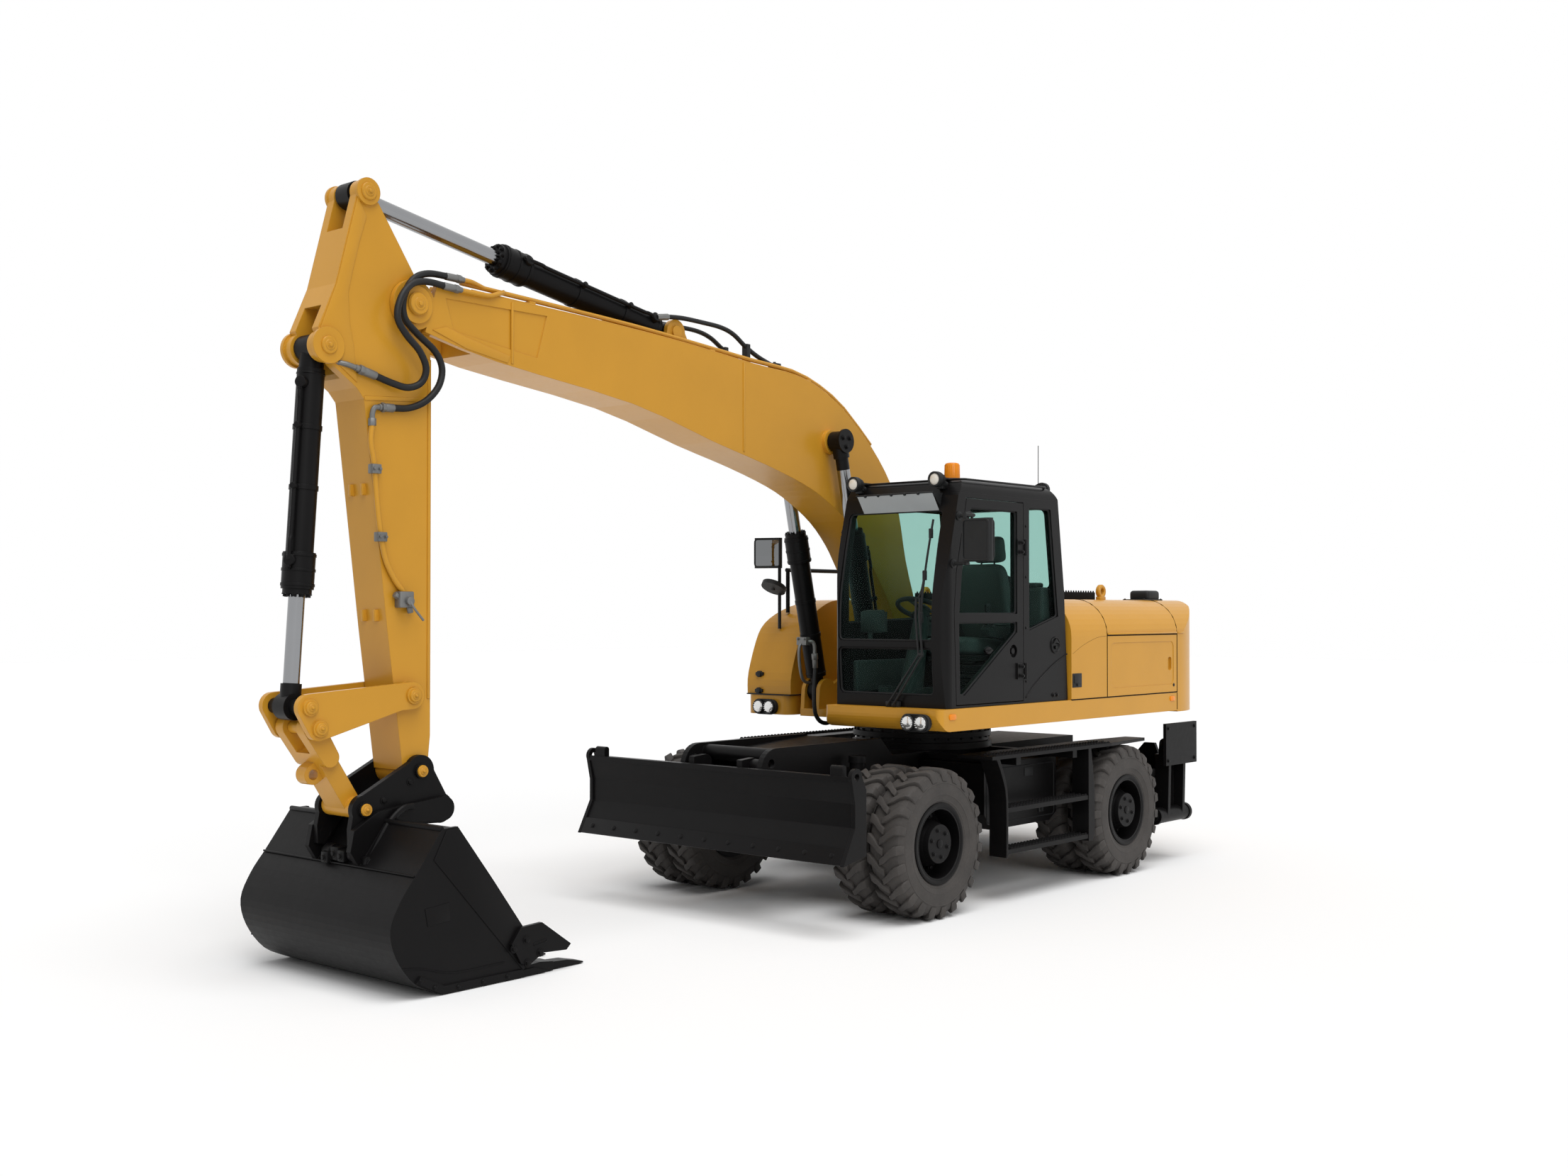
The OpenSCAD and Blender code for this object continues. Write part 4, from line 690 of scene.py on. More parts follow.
# Finish: material slot, values of surface() in their order, and its further values by name. A word in the
# place of a colour names one of the user's colours.
SURFACES = {
    "enamel": (
        "yellow_paint", ("yellow_enamel", "body", 0.03, (0.28, 0.38), 300, 0.03),
        {"coat": 0.1, "coat_rough": 0.16, "shine": 0.25, "soft": 0.006},
    ),
    "frame": (
        "black_paint", ("black_enamel", "frame", 0.15, (0.34, 0.48), 340, 0.05),
        {"coat": 0.02, "coat_rough": 0.2, "shine": 0.1, "soft": 0.005},
    ),
    "cab": (
        "black_paint", ("cab_enamel", "frame", 0.1, (0.3, 0.4), 320, 0.03),
        {"coat": 0.03, "coat_rough": 0.15, "shine": 0.12, "soft": 0.006},
    ),
    "tread": (
        "black_paint", ("anti_slip", "frame", 0.2, (0.7, 0.9), 260, 0.4),
        {"mottle_scale": 30, "shine": 0.12},
    ),
    "seal": (
        "dark_plastic", ("rubber_seal", (0.008, 0.008, 0.0085), 0.1, (0.6, 0.75), 300, 0.08),
        {"shine": 0.25},
    ),
    # Painted shade: near-black for the lines that stand in for the dark inside panel gaps and under the hood's lip.
    "gap": (
        "dark_plastic", ("panel_gap", (0.01, 0.006, 0.003), 0.2, (0.8, 0.95), 200, 0.05),
        {"shine": 0.1},
    ),
    "screen": (
        "tinted_glass", ("monitor_glass", (0.01, 0.013, 0.016), 0.1, (0.05, 0.1), 60, 0.02),
        {"coat": 0.5},
    ),
    "chrome": (
        "rod_chrome", ("rod_chrome", ROD_COLOR, 0.03, (0.14, 0.22), 500, 0.01),
        {"metallic": 1.0},
    ),
    "rubber": (
        "tyre", ("tyre_rubber", "rubber", 0.22, (0.66, 0.86), 190, 0.16),
        {"mottle_scale": 6},
    ),
    "hose": (
        "dark_plastic", ("hose_rubber", (0.01, 0.01, 0.0105), 0.15, (0.42, 0.55), 420, 0.08),
        {"mottle_scale": 12, "shine": 0.25},
    ),
    "plastic": (
        "dark_plastic", ("dark_plastic", (0.014, 0.0145, 0.015), 0.1, (0.45, 0.58), 520, 0.14),
        {"mottle_scale": 10, "shine": 0.2},
    ),
    "trim": (
        "dark_plastic", ("cab_trim", (0.038, 0.043, 0.041), 0.08, (0.55, 0.68), 420, 0.16),
        {"mottle_scale": 9, "shine": 0.2},
    ),
    "fabric": (
        "seat_fabric", ("seat_fabric", (0.08, 0.092, 0.088), 0.05, (0.85, 0.95), 900, 0.1),
        {"mottle_scale": 60, "shine": 0.15},
    ),
    "iron": (
        "cast_iron", ("cast_iron", (0.1, 0.1, 0.105), 0.2, (0.55, 0.75), 90, 0.3),
        {"mottle_scale": 12},
    ),
    "amber": (
        "amber_plastic", ("amber_lens", (0.8, 0.25, 0.006), 0.05, (0.14, 0.2), 60, 0.05),
        {"coat": 0.1, "shine": 0.2},
    ),
    "marker": (
        "amber_plastic", ("orange_marker", (0.8, 0.24, 0.01), 0.05, (0.15, 0.22), 60, 0.05),
        {"coat": 0.1, "shine": 0.2},
    ),
    "lens": (
        "rod_chrome", ("lamp_lens", (0.74, 0.74, 0.73), 0.06, (0.08, 0.16), 140, 0.25),
        {"metallic": 0.75, "coat": 0.8},
    ),
    "work_lens": (
        "rod_chrome", ("work_lamp_lens", (0.72, 0.68, 0.6), 0.05, (0.15, 0.25), 120, 0.2),
        {"coat": 0.7},
    ),
    "mirror": (
        "rod_chrome", ("mirror_silver", (0.18, 0.185, 0.19), 0.01, (0.02, 0.05), 20, 0.01),
        {"metallic": 1.0},
    ),
    "block": (
        "rod_chrome", ("valve_grey", (0.17, 0.17, 0.165), 0.15, (0.38, 0.5), 220, 0.1),
        {"metallic": 0.6},
    ),
    "visor": (
        "tinted_glass", ("milky_visor", (0.5, 0.53, 0.54), 0.05, (0.2, 0.3), 120, 0.03),
        {},
    ),
}
VISOR_ALPHA = 0.62


def make_finishes(colours):
    for name, (_, (label, color, *rest), extras) in SURFACES.items():
        if isinstance(color, str):
            color = tuple(getattr(colours, color))
        FINISHES[name] = surface(label, color, *rest, **extras)
    shader = FINISHES["visor"].node_tree.nodes["Principled BSDF"]
    shader.inputs["Alpha"].default_value = VISOR_ALPHA
    FINISHES["glass"] = glass_material("tinted_glass", tuple(colours.glass))
    for node, start, end, limit in ROD_PAINT:
        FINISHES[node] = two_tone(f"{node}_finish", start, end, limit, ROD_COLOR, tuple(colours.frame))


def piece(parts, name, finish, body, smooth_angle=32):
    """Joins parts into a named piece with a finish and hangs it on its body."""
    obj = joined(parts)
    obj.name = name
    obj.data.name = name
    obj.data.materials.clear()
    obj.data.materials.append(FINISHES[finish])
    make_active(obj)
    bpy.ops.object.shade_smooth_by_angle(angle=math.radians(smooth_angle))
    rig.ride(obj, body)
    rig.slot(obj, SURFACES[finish][0])
    return obj


SLOT_FINISH = {
    "yellow_paint": "enamel",
    "black_paint": "frame",
    "tyre": "rubber",
    "rod_chrome": "chrome",
    "cast_iron": "iron",
    "tinted_glass": "glass",
    "seat_fabric": "fabric",
    "dark_plastic": "plastic",
    "amber_plastic": "amber",
}
NODE_FINISH = {"cab_shell": "cab", "cab_roof": "cab", "cab_door": "cab", "cab_controls": "trim"}
NODE_FINISH.update({rod[0]: rod[0] for rod in ROD_PAINT})


class EXCAVATOR_OT_finishes(bpy.types.Operator):
    """Gives every solid its finish"""

    bl_idname = "excavator.finishes"
    bl_label = "Finishes"

    def execute(self, context):
        make_finishes(context.scene.excavator_colours)
        for part in frame["record"]["subparts"]:
            obj = NODES[part["node"]]
            name = NODE_FINISH.get(part["node"], SLOT_FINISH[part["material_slot"]])
            obj.data.materials.clear()
            obj.data.materials.append(FINISHES[name])
        return {"FINISHED"}


class EXCAVATOR_OT_stage(bpy.types.Operator):
    """Makes the pale studio, its lights and the camera"""

    bl_idname = "excavator.stage"
    bl_label = "Stage"

    CAMERA_PLACE = (10.833, 7.948, 2.145)
    CAMERA_HEADING = 131.06
    CAMERA_PITCH = 0.81
    CAMERA_LENS = 37.69
    WHITE = (1, 1, 1, 1)
    FLOOR_COLOR = (0.95, 0.95, 0.95, 1)
    SKY_STRENGTH = 0.35
    # Name, place, strength and spread in degrees
    SUNS = (("overhead", (1.5, 3.0, 9.0), 2.0, 45), ("left_key", (5.0, 9.0, 6.0), 0.8, 30))

    def sun(self, name, place, strength, spread):
        """Soft sun that shines from a place to the origin."""
        lamp = bpy.data.lights.new(name, "SUN")
        lamp.energy = strength
        lamp.angle = math.radians(spread)
        obj = bpy.data.objects.new(name, lamp)
        bpy.context.scene.collection.objects.link(obj)
        obj.location = place
        obj.rotation_euler = (-Vector(place)).to_track_quat("-Z", "Y").to_euler()

    def camera(self, scene):
        camera = bpy.data.cameras.new("photo_camera")
        camera.lens = self.CAMERA_LENS
        camera.sensor_width = 36
        camera.clip_end = 300
        eye = bpy.data.objects.new("photo_camera", camera)
        scene.collection.objects.link(eye)
        eye.location = self.CAMERA_PLACE
        eye.rotation_euler = (math.radians(90 + self.CAMERA_PITCH), 0, math.radians(self.CAMERA_HEADING))
        scene.camera = eye

    def floor(self, half_width):
        deselect()
        bpy.ops.mesh.primitive_plane_add(size=2 * half_width)
        floor = bpy.context.object
        floor.name = "studio_floor"
        material, tree, shader = bare_material("studio_floor")
        shader.inputs["Base Color"].default_value = self.FLOOR_COLOR
        shader.inputs["Roughness"].default_value = 0.9
        shader.inputs["Specular IOR Level"].default_value = 0.1
        floor.data.materials.append(material)
        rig.stage(floor)

    def sky(self, scene):
        """Soft light from all round; camera, glossy and transmission rays see plain white."""
        world = bpy.data.worlds.new("studio")
        scene.world = world
        world.use_nodes = True
        tree = world.node_tree
        rays = tree.nodes.new("ShaderNodeLightPath")
        sky = tree.nodes["Background"]
        sky.inputs["Color"].default_value = self.WHITE
        sky.inputs["Strength"].default_value = self.SKY_STRENGTH
        white = add_node(tree, "ShaderNodeBackground", Color=self.WHITE, Strength=1.0)
        mix = tree.nodes.new("ShaderNodeMixShader")
        seen = add_node(tree, "ShaderNodeMath")
        tree.links.new(rays.outputs["Is Camera Ray"], seen.inputs[0])
        tree.links.new(rays.outputs["Is Glossy Ray"], seen.inputs[1])
        shows = add_node(tree, "ShaderNodeMath")
        shows.use_clamp = True
        tree.links.new(seen.outputs["Value"], shows.inputs[0])
        tree.links.new(rays.outputs["Is Transmission Ray"], shows.inputs[1])
        tree.links.new(shows.outputs["Value"], mix.inputs["Fac"])
        tree.links.new(sky.outputs["Background"], mix.inputs[1])
        tree.links.new(white.outputs["Background"], mix.inputs[2])
        tree.links.new(mix.outputs["Shader"], tree.nodes["World Output"].inputs["Surface"])

    def execute(self, context):
        scene = context.scene
        self.camera(scene)
        self.floor(scene.excavator_sizes.floor)
        self.sky(scene)
        for values in self.SUNS:
            self.sun(*values)
        scene.view_settings.view_transform = "Standard"
        return {"FINISHED"}


WHEELS = [(axle, hand) for axle in ("front", "rear") for hand in ("left", "right")]


class EXCAVATOR_OT_tyres(bpy.types.Operator):
    """Models one lugged tyre and hangs twins of it on each wheel"""

    bl_idname = "excavator.tyres"
    bl_label = "Tyres"

    LUG_COUNT = 23
    LUG_FOOT = 0.007
    LUG_SUNK = 0.004
    WIDTH = 0.278
    # Place across the tread, lead of the lug, half width of its top, fall of its top and of its foot
    LUG_LINE = (
        (-0.014, 0.05, 0.021, 0.0, 0.0),
        (0.028, 0.022, 0.024, 0.0, 0.0),
        (0.066, -0.014, 0.027, 0.001, 0.001),
        (0.1, -0.036, 0.03, 0.003, 0.006),
        (0.126, -0.043, 0.031, 0.015, 0.026),
        (0.139, -0.045, 0.028, 0.052, 0.064),
    )
    SIDEWALL = (
        (0.262, 0.088), (0.284, 0.11), (0.3, 0.1185), (0.302, 0.1215), (0.306, 0.1215), (0.308, 0.121),
        (0.34, 0.1325), (0.342, 0.135), (0.347, 0.1355), (0.349, 0.1345), (0.38, 0.1375), (0.42, 0.1365),
        (0.422, 0.1385), (0.427, 0.1385), (0.429, 0.136), (0.455, 0.13), (0.482, 0.117), (0.497, 0.095),
    )

    def lug(self, radius, height, side):
        sections = []
        for y, lead, half, fall, foot_fall in self.LUG_LINE:
            top, foot = radius - fall, radius - height - foot_fall - self.LUG_SUNK
            wide = half + self.LUG_FOOT
            corners = ((lead - wide, foot), (lead - half, top), (lead + half, top), (lead + wide, foot))
            sections.append(
                [Vector((r * math.sin(s / radius), side * y, r * math.cos(s / radius))) for s, r in corners]
            )
        return round_edges(loft(sections), 0.0035, 2, 40)

    def ring(self, lug, turn):
        lug.data.transform(Matrix.Rotation(turn, 4, "Y"))
        edit_all(lug)
        bpy.ops.mesh.spin(
            steps=self.LUG_COUNT - 1,
            dupli=True,
            angle=2 * math.pi * (self.LUG_COUNT - 1) / self.LUG_COUNT,
            center=(0, 0, 0),
            axis=(0, 1, 0),
        )
        leave_edit()
        return lug

    def execute(self, context):
        height = context.scene.excavator_sizes.lug
        low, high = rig.box("tyres_front_left")
        radius = (high[2] - low[2]) / 2
        floor_r = radius - height
        crown = [(floor_r, 0.06), (floor_r + 0.001, 0.0), (floor_r, -0.06)]
        profile = list(self.SIDEWALL) + crown + [(r, -y) for r, y in reversed(self.SIDEWALL)]
        carcass = lathe(profile, (0, 0, 0), (0, 1, 0), 92)
        rings = [
            self.ring(self.lug(radius, height, 1), 0.0),
            self.ring(self.lug(radius, height, -1), math.pi / self.LUG_COUNT),
        ]
        tyre = joined([carcass] + rings)
        for axle, hand in WHEELS:
            node = f"tyres_{axle}_{hand}"
            low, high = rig.box(node)
            centre_x = (low[0] + high[0]) / 2
            places = (low[1] + self.WIDTH / 2, high[1] - self.WIDTH / 2)
            twins = [copied(tyre, Matrix.Translation((centre_x, y, radius))) for y in places]
            pair = piece(twins, f"lugged_{node}", "rubber", f"wheel_{axle}_{hand}", 28)
            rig.replaces(pair, node)
        bpy.data.objects.remove(tyre)
        return {"FINISHED"}


class EXCAVATOR_OT_rims(bpy.types.Operator):
    """Adds the rolled lip, hub bolts and valve of each wheel"""

    bl_idname = "excavator.rims"
    bl_label = "Rims"

    LIP = ((0.252, 0.0), (0.262, 0.004), (0.276, 0.006), (0.2845, 0.003), (0.2845, -0.006), (0.27, -0.01))
    LIP_FACE = 1.251
    NUT_FACE = 1.124
    # Radius and place across the machine of the valve stem's points, and its angle
    VALVE = ((0.226, 1.09), (0.222, 1.13), (0.214, 1.165))
    VALVE_ANGLE = 1.1

    def execute(self, context):
        for axle, hand in WHEELS:
            low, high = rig.box(f"rims_{axle}_{hand}")
            side = 1 if hand == "left" else -1
            hub = Vector(((low[0] + high[0]) / 2, 0, (low[2] + high[2]) / 2))
            cap_y = high[1] if side > 0 else -low[1]
            out = LEFT * side

            def at(angle, radius, y):
                return hub + Vector((radius * math.cos(angle), side * y, radius * math.sin(angle)))

            stem = [at(self.VALVE_ANGLE, radius, y) for radius, y in self.VALVE]
            parts = [
                lathe(self.LIP, hub + out * self.LIP_FACE, hub + out * (self.LIP_FACE + 1), 72),
                ring_of(lambda a: bolt(at(a, 0.095, cap_y), out, 0.024, 0.012), 6, 0.3),
                ring_of(lambda a: bolt(at(a, 0.193, self.NUT_FACE), out, 0.034, 0.016), 10),
                bar(at(0, 0.0, cap_y - 0.001), at(0, 0.0, cap_y + 0.006), 0.032, 32),
                tube(stem, 0.006, 5),
            ]
            piece(parts, f"hub_trim_{axle}_{hand}", "frame", f"wheel_{axle}_{hand}")
        return {"FINISHED"}


def hose(name, line, radius, bodies, start, end):
    """Hose along a few points that bends from one body to the other, declared as a cord."""
    path = smooth_path(line, 6)
    obj = tube(line, radius, 6, 4)
    obj.name = name
    obj.data.name = name
    obj.data.materials.append(FINISHES["hose"])
    make_active(obj)
    bpy.ops.object.shade_smooth_by_angle(angle=math.radians(60))
    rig.blend(obj, *bodies, start, end)
    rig.slot(obj, "dark_plastic")
    length = sum((b - a).length for a, b in zip(path, path[1:]))
    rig.cord(obj, path[0], length, 2 * radius, "object", "stiff", "taut", path=path)


class EXCAVATOR_OT_arm_hoses(bpy.types.Operator):
    """Lays the hoses round the stick's pin and the pipe down to the stick's valve"""

    bl_idname = "excavator.arm_hoses"
    bl_label = "Arm hoses"

    CYLINDER_LINE = (
        (4.7, -0.086, 4.105), (4.86, -0.078, 4.112), (4.98, -0.062, 4.08), (5.07, -0.047, 3.985),
        (5.1, -0.042, 3.865), (5.04, -0.04, 3.77), (4.94, -0.046, 3.685), (4.885, -0.056, 3.59),
        (4.905, -0.074, 3.505), (4.985, -0.096, 3.468), (5.085, -0.118, 3.487), (5.2, -0.131, 3.522),
    )
    STICK_LINE = (
        (4.66, -0.116, 4.176), (4.83, -0.112, 4.17), (4.95, -0.098, 4.115), (5.025, -0.085, 3.995),
        (5.02, -0.082, 3.875), (4.925, -0.084, 3.79), (4.8, -0.086, 3.705), (4.745, -0.088, 3.61),
        (4.765, -0.092, 3.5), (4.845, -0.106, 3.405), (4.955, -0.122, 3.352), (5.075, -0.131, 3.341),
    )
    BEND_START = (5.0, -0.1, 4.06)
    BEND_END = (5.0, -0.1, 3.6)
    UPPER_TAIL = ((4.565, -0.117, 4.172), (4.5, -0.124, 4.171), (4.44, -0.14, 4.164), (4.38, -0.15, 4.152))
    LOWER_TAIL = (
        (4.605, -0.086, 4.1), (4.5, -0.088, 4.097), (4.38, -0.092, 4.1), (4.3, -0.105, 4.125),
        (4.24, -0.13, 4.145),
    )
    STICK_ELBOW = ((5.16, -0.132, 3.338), (5.192, -0.132, 3.332), (5.208, -0.132, 3.3), (5.209, -0.132, 3.25))
    CYLINDER_ELBOW = (
        (5.32, -0.132, 3.551), (5.38, -0.138, 3.565), (5.43, -0.165, 3.574), (5.452, -0.215, 3.578),
    )
    STICK_PIPE = (
        (5.209, -0.13, 3.245), (5.218, -0.133, 3.135), (5.194, -0.135, 3.004), (5.161, -0.135, 2.692),
        (5.118, -0.135, 2.47), (5.06, -0.135, 2.35), (4.99, -0.132, 2.26),
    )
    CLAMPS = ((5.19, 2.975), (5.148, 2.58))

    def fitting(self, p, q, radius):
        """Swaged ferrule with a hexagon nut at its outer end."""
        p, q = Vector(p), Vector(q)
        way = (q - p).normalized()
        span = (q - p).length
        return [
            bar(p, p + way * span * 0.62, radius * 1.22, 20, 0.003),
            bar(p + way * span * 0.6, p + way * span * 0.82, radius * 1.45, 6, 0.003),
            bar(p + way * span * 0.8, q, radius * 0.95, 16, 0.002),
        ]

    def execute(self, context):
        radius = context.scene.excavator_sizes.hose
        for name, line in (
            ("bucket_cylinder_hose", self.CYLINDER_LINE), ("stick_line_hose", self.STICK_LINE),
        ):
            hose(name, line, radius, ("boom", "stick"), self.BEND_START, self.BEND_END)
        parts = self.fitting((4.74, -0.0845, 4.107), (4.6, -0.086, 4.1), radius * 0.9)
        parts += self.fitting((4.7, -0.115, 4.175), (4.56, -0.117, 4.172), radius * 0.9)
        piece(parts, "boom_hose_fittings", "block", "boom")
        tails = [tube(path, 0.0155, 5, 3) for path in (self.UPPER_TAIL, self.LOWER_TAIL)]
        piece(tails, "boom_pipe_tails", "enamel", "boom")

        parts = self.fitting((5.188, -0.13, 3.518), (5.325, -0.132, 3.552), radius)
        parts += self.fitting((5.063, -0.1305, 3.341), (5.165, -0.132, 3.338), radius)
        parts += [tube(path, 0.016) for path in (self.STICK_ELBOW, self.CYLINDER_ELBOW)]
        parts.append(bar((5.209, -0.132, 3.27), (5.209, -0.132, 3.225), 0.024, 6, 0.003))
        piece(parts, "stick_hose_fittings", "block", "stick")
        piece([tube(self.STICK_PIPE, 0.0165, 5, 4)], "stick_pipe", "enamel", "stick", 60)

        parts = []
        for x, z in self.CLAMPS:
            parts.append(block((x - 0.032, -0.156, z - 0.028), (x + 0.032, -0.108, z + 0.028), 0.005))
            parts += bolts(LEFT, 0.018, 0.012, ((x + shift, -0.108, z) for shift in (0.02, -0.02)))
        parts.append(block((4.935, -0.156, 2.165), (5.035, -0.095, 2.262), 0.008))
        parts += bars(
            ((4.975, -0.097, 2.205), (4.975, -0.07, 2.205), 0.026, 20, 0.004),
            ((5.02, -0.125, 2.225), (5.055, -0.125, 2.245), 0.02, 6, 0.003),
            ((4.95, -0.125, 2.17), (4.94, -0.125, 2.135), 0.02, 6, 0.003),
        )
        parts.append(tube([(4.975, -0.078, 2.205), (4.955, -0.066, 2.16), (4.895, -0.06, 2.09)], 0.0075, 5))
        piece(parts, "stick_valve_and_clamps", "block", "stick")
        return {"FINISHED"}


class EXCAVATOR_OT_cylinders(bpy.types.Operator):
    """Adds gland bolts, port blocks and oil pipes to the hydraulic cylinders"""

    bl_idname = "excavator.cylinders"
    bl_label = "Cylinders"

    # Body, base pin, eye pin, place across the machine, barrel radius, barrel length, side of the oil pipe
    BARRELS = (
        ("boom_barrels", (0.605, 1.5), (1.05, 3.45), -0.01, 0.08, 1.3, (1, 0.6)),
        ("boom_barrels", (0.605, 1.5), (1.05, 3.45), -0.59, 0.08, 1.3, (1, -0.6)),
        ("stick_barrel", (2.64, 4.11), (5.236, 4.592), -0.3, 0.092, 1.56, (0.35, 1)),
        ("bucket_barrel", (5.501, 3.662), (5.639, 1.604), -0.3, 0.078, 1.424, (1, 0.5)),
    )
    # Rings round the barrel: how far past its skin, and the distance along it
    GLAND_RING = ((0.008, 0), (0.018, 0.003), (0.018, 0.019), (0.008, 0.022))
    WELD = ((-0.004, 0), (0.003, 0.004), (0.004, 0.012), (-0.004, 0.02))
    BAND = ((-0.003, 0), (0.005, 0.001), (0.005, 0.029), (-0.003, 0.03))

    def execute(self, context):
        for index, (body, base, eye, y, radius, length, side) in enumerate(self.BARRELS):
            start, end = Vector((base[0], y, base[1])), Vector((eye[0], y, eye[1]))
            way = (end - start).normalized()
            normal = way.cross(LEFT).normalized()
            pipe_side = (normal * side[0] + LEFT * side[1]).normalized()

            def at(distance, out=0.0, direction=pipe_side):
                return start + way * distance + direction * out

            def stud(angle):
                direction = normal * math.cos(angle) + LEFT * math.sin(angle)
                return bolt(at(length, radius * 0.86, direction), way, 0.024, 0.016)

            def collar(profile, place):
                rings = [(radius + out, distance) for out, distance in profile]
                return lathe(rings, at(place), at(place + 1), 40)

            parts = [ring_of(stud, 10, 0.2)]
            parts += [collar(self.GLAND_RING, length - back) for back in (0.235, 0.15, 0.065)]
            parts.append(collar(self.WELD, 0.145))
            for place in (0.215, length - 0.19):
                parts.append(bar(at(place, radius - 0.01), at(place, radius + 0.034), 0.034, 24, 0.004))
                parts.append(bolt(at(place + 0.04, radius + 0.028), pipe_side, 0.02))
            line = (
                (length - 0.19, 0.03), (length - 0.3, 0.032), (length - 0.36, 0.024), (length * 0.5, 0.024),
                (0.36, 0.024), (0.3, 0.03), (0.262, 0.03),
            )
            parts.append(tube([at(place, radius + out) for place, out in line], 0.0125, 5, 3))
            for place in (0.45, length * 0.56):
                parts.append(collar(self.BAND, place))
                foot, top = at(place + 0.015, radius - 0.005), at(place + 0.015, radius + 0.044)
                parts.append(bar(foot, top, 0.019, 12, 0.003))
            piece(parts, f"{body}_fittings_{index}", "frame", body)
        return {"FINISHED"}


class EXCAVATOR_OT_pins(bpy.types.Operator):
    """Adds the stepped caps and keeper bolts of the arm's pins"""

    bl_idname = "excavator.pins"
    bl_label = "Arm pins"

    # Body, x, z, radius, left face and right face
    CAPS = (
        ("boom", 4.927, 3.97, 0.066, -0.07, -0.53),
        ("stick", 5.236, 4.592, 0.052, -0.135, -0.465),
        ("stick", 5.501, 3.662, 0.052, -0.131, -0.469),
        ("stick", 4.935, 1.645, 0.038, -0.086, -0.514),
        ("idler_links", 5.639, 1.604, 0.036, -0.082, -0.518),
        ("idler_links", 5.575, 1.483, 0.036, -0.082, -0.518),
        ("bucket", 4.873, 1.194, 0.036, -0.094, -0.506),
        ("bucket", 5.267, 0.999, 0.036, -0.094, -0.506),
    )
    # Share of the cap's radius, and the height over the face
    CAP = ((0, 0.016), (0.55, 0.016), (0.6, 0.012), (0.92, 0.012), (1, 0.006), (1, -0.004), (0, -0.004))
    BOOM_ROD_EYE = (1.05, 3.45)
    BOOM_ROD_FACES = ((0.061, 1), (-0.661, -1))

    def execute(self, context):
        caps = {}
        keepers = {}
        for body, x, z, radius, left, right in self.CAPS:
            for face, out in ((left, 1), (right, -1)):
                base = Vector((x, face, z))
                way = LEFT * out
                profile = [(radius * share, height) for share, height in self.CAP]
                caps.setdefault(body, []).append(lathe(profile, base, base + way, 40))
                keepers.setdefault(body, []).append(bolt(base + way * 0.015, way, radius * 0.5, 0.01))
        for body, parts in caps.items():
            piece(parts, f"{body}_pin_caps", "enamel", body)
            piece(keepers[body], f"{body}_pin_bolts", "enamel", body)
        parts = []
        x, z = self.BOOM_ROD_EYE
        for face, out in self.BOOM_ROD_FACES:
            for angle in THREE_TURNS:
                spot = Vector((x + 0.045 * math.cos(angle), face, z + 0.045 * math.sin(angle)))
                parts.append(bolt(spot, (0, out, 0), 0.03, 0.014))
        piece(parts, "boom_rod_cap_bolts", "frame", "boom_rods")
        return {"FINISHED"}


class EXCAVATOR_OT_arm_plates(bpy.types.Operator):
    """Adds the welded doublers, lugs and seams of boom and stick"""

    bl_idname = "excavator.arm_plates"
    bl_label = "Arm plates"

    FISHPLATE = (
        (5.3, 4.555), (5.24, 4.445), (5.289, 4.288), (5.331, 4.125), (5.362, 3.985), (5.352, 3.815),
        (5.326, 3.69), (5.3, 3.47), (5.425, 3.56), (5.47, 3.59), (5.545, 3.76), (5.44, 4.025),
    )
    STICK_SEAM = ((4.785, 3.43), (5.25, 3.398), (5.246, 3.372), (4.785, 3.404))
    STICK_BACK = ((4.778, 1.62), (4.8, 1.62), (4.8, 3.66), (4.778, 3.66))
    STICK_LUGS = ((5.175, 2.86), (5.085, 2.12), (5.02, 1.6))
    BOOM_TIP = ((4.8, 3.835), (4.545, 3.752), (4.225, 3.7), (4.205, 3.745), (4.555, 3.826), (4.7, 3.868))
    BOOM_SEAM = ((4.178, 3.7), (4.196, 3.7), (4.196, 4.088), (4.178, 4.088))
    BOOM_MIDDLE = ((2.02, 3.305), (2.038, 3.309), (2.038, 3.955), (2.02, 3.953))
    BOOM_EDGE = (
        (4.5, 4.118), (3.9, 4.092), (3.39, 4.07), (2.64, 4.024), (1.908, 3.957), (1.45, 3.927), (1.15, 3.852),
        (0.864, 3.715),
    )

    def execute(self, context):
        parts = []
        for low, high in ((-0.156, -0.148), (-0.452, -0.444)):
            parts.append(plate(self.FISHPLATE, low, high))
            parts.append(plate(self.STICK_SEAM, low, high - 0.003))
            parts.append(plate(self.STICK_BACK, low, high))
        for y in (-0.36, -0.24):
            for x, z in self.STICK_LUGS:
                foot, top = (x - 0.03, y - 0.012, z - 0.035), (x + 0.035, y + 0.012, z + 0.035)
                parts.append(block(foot, top, 0.005))
        piece(parts, "stick_doublers", "enamel", "stick")

        parts = []
        for low, high in ((-0.113, -0.104), (-0.496, -0.487)):
            for outline in (self.BOOM_TIP, self.BOOM_SEAM, self.BOOM_MIDDLE):
                parts.append(plate(outline, low, high, 0.002))
        for y in (-0.118, -0.482):
            parts.append(tube(at_y(self.BOOM_EDGE, y), 0.007, 4, 2))
        piece(parts, "boom_doublers", "enamel", "boom")
        return {"FINISHED"}


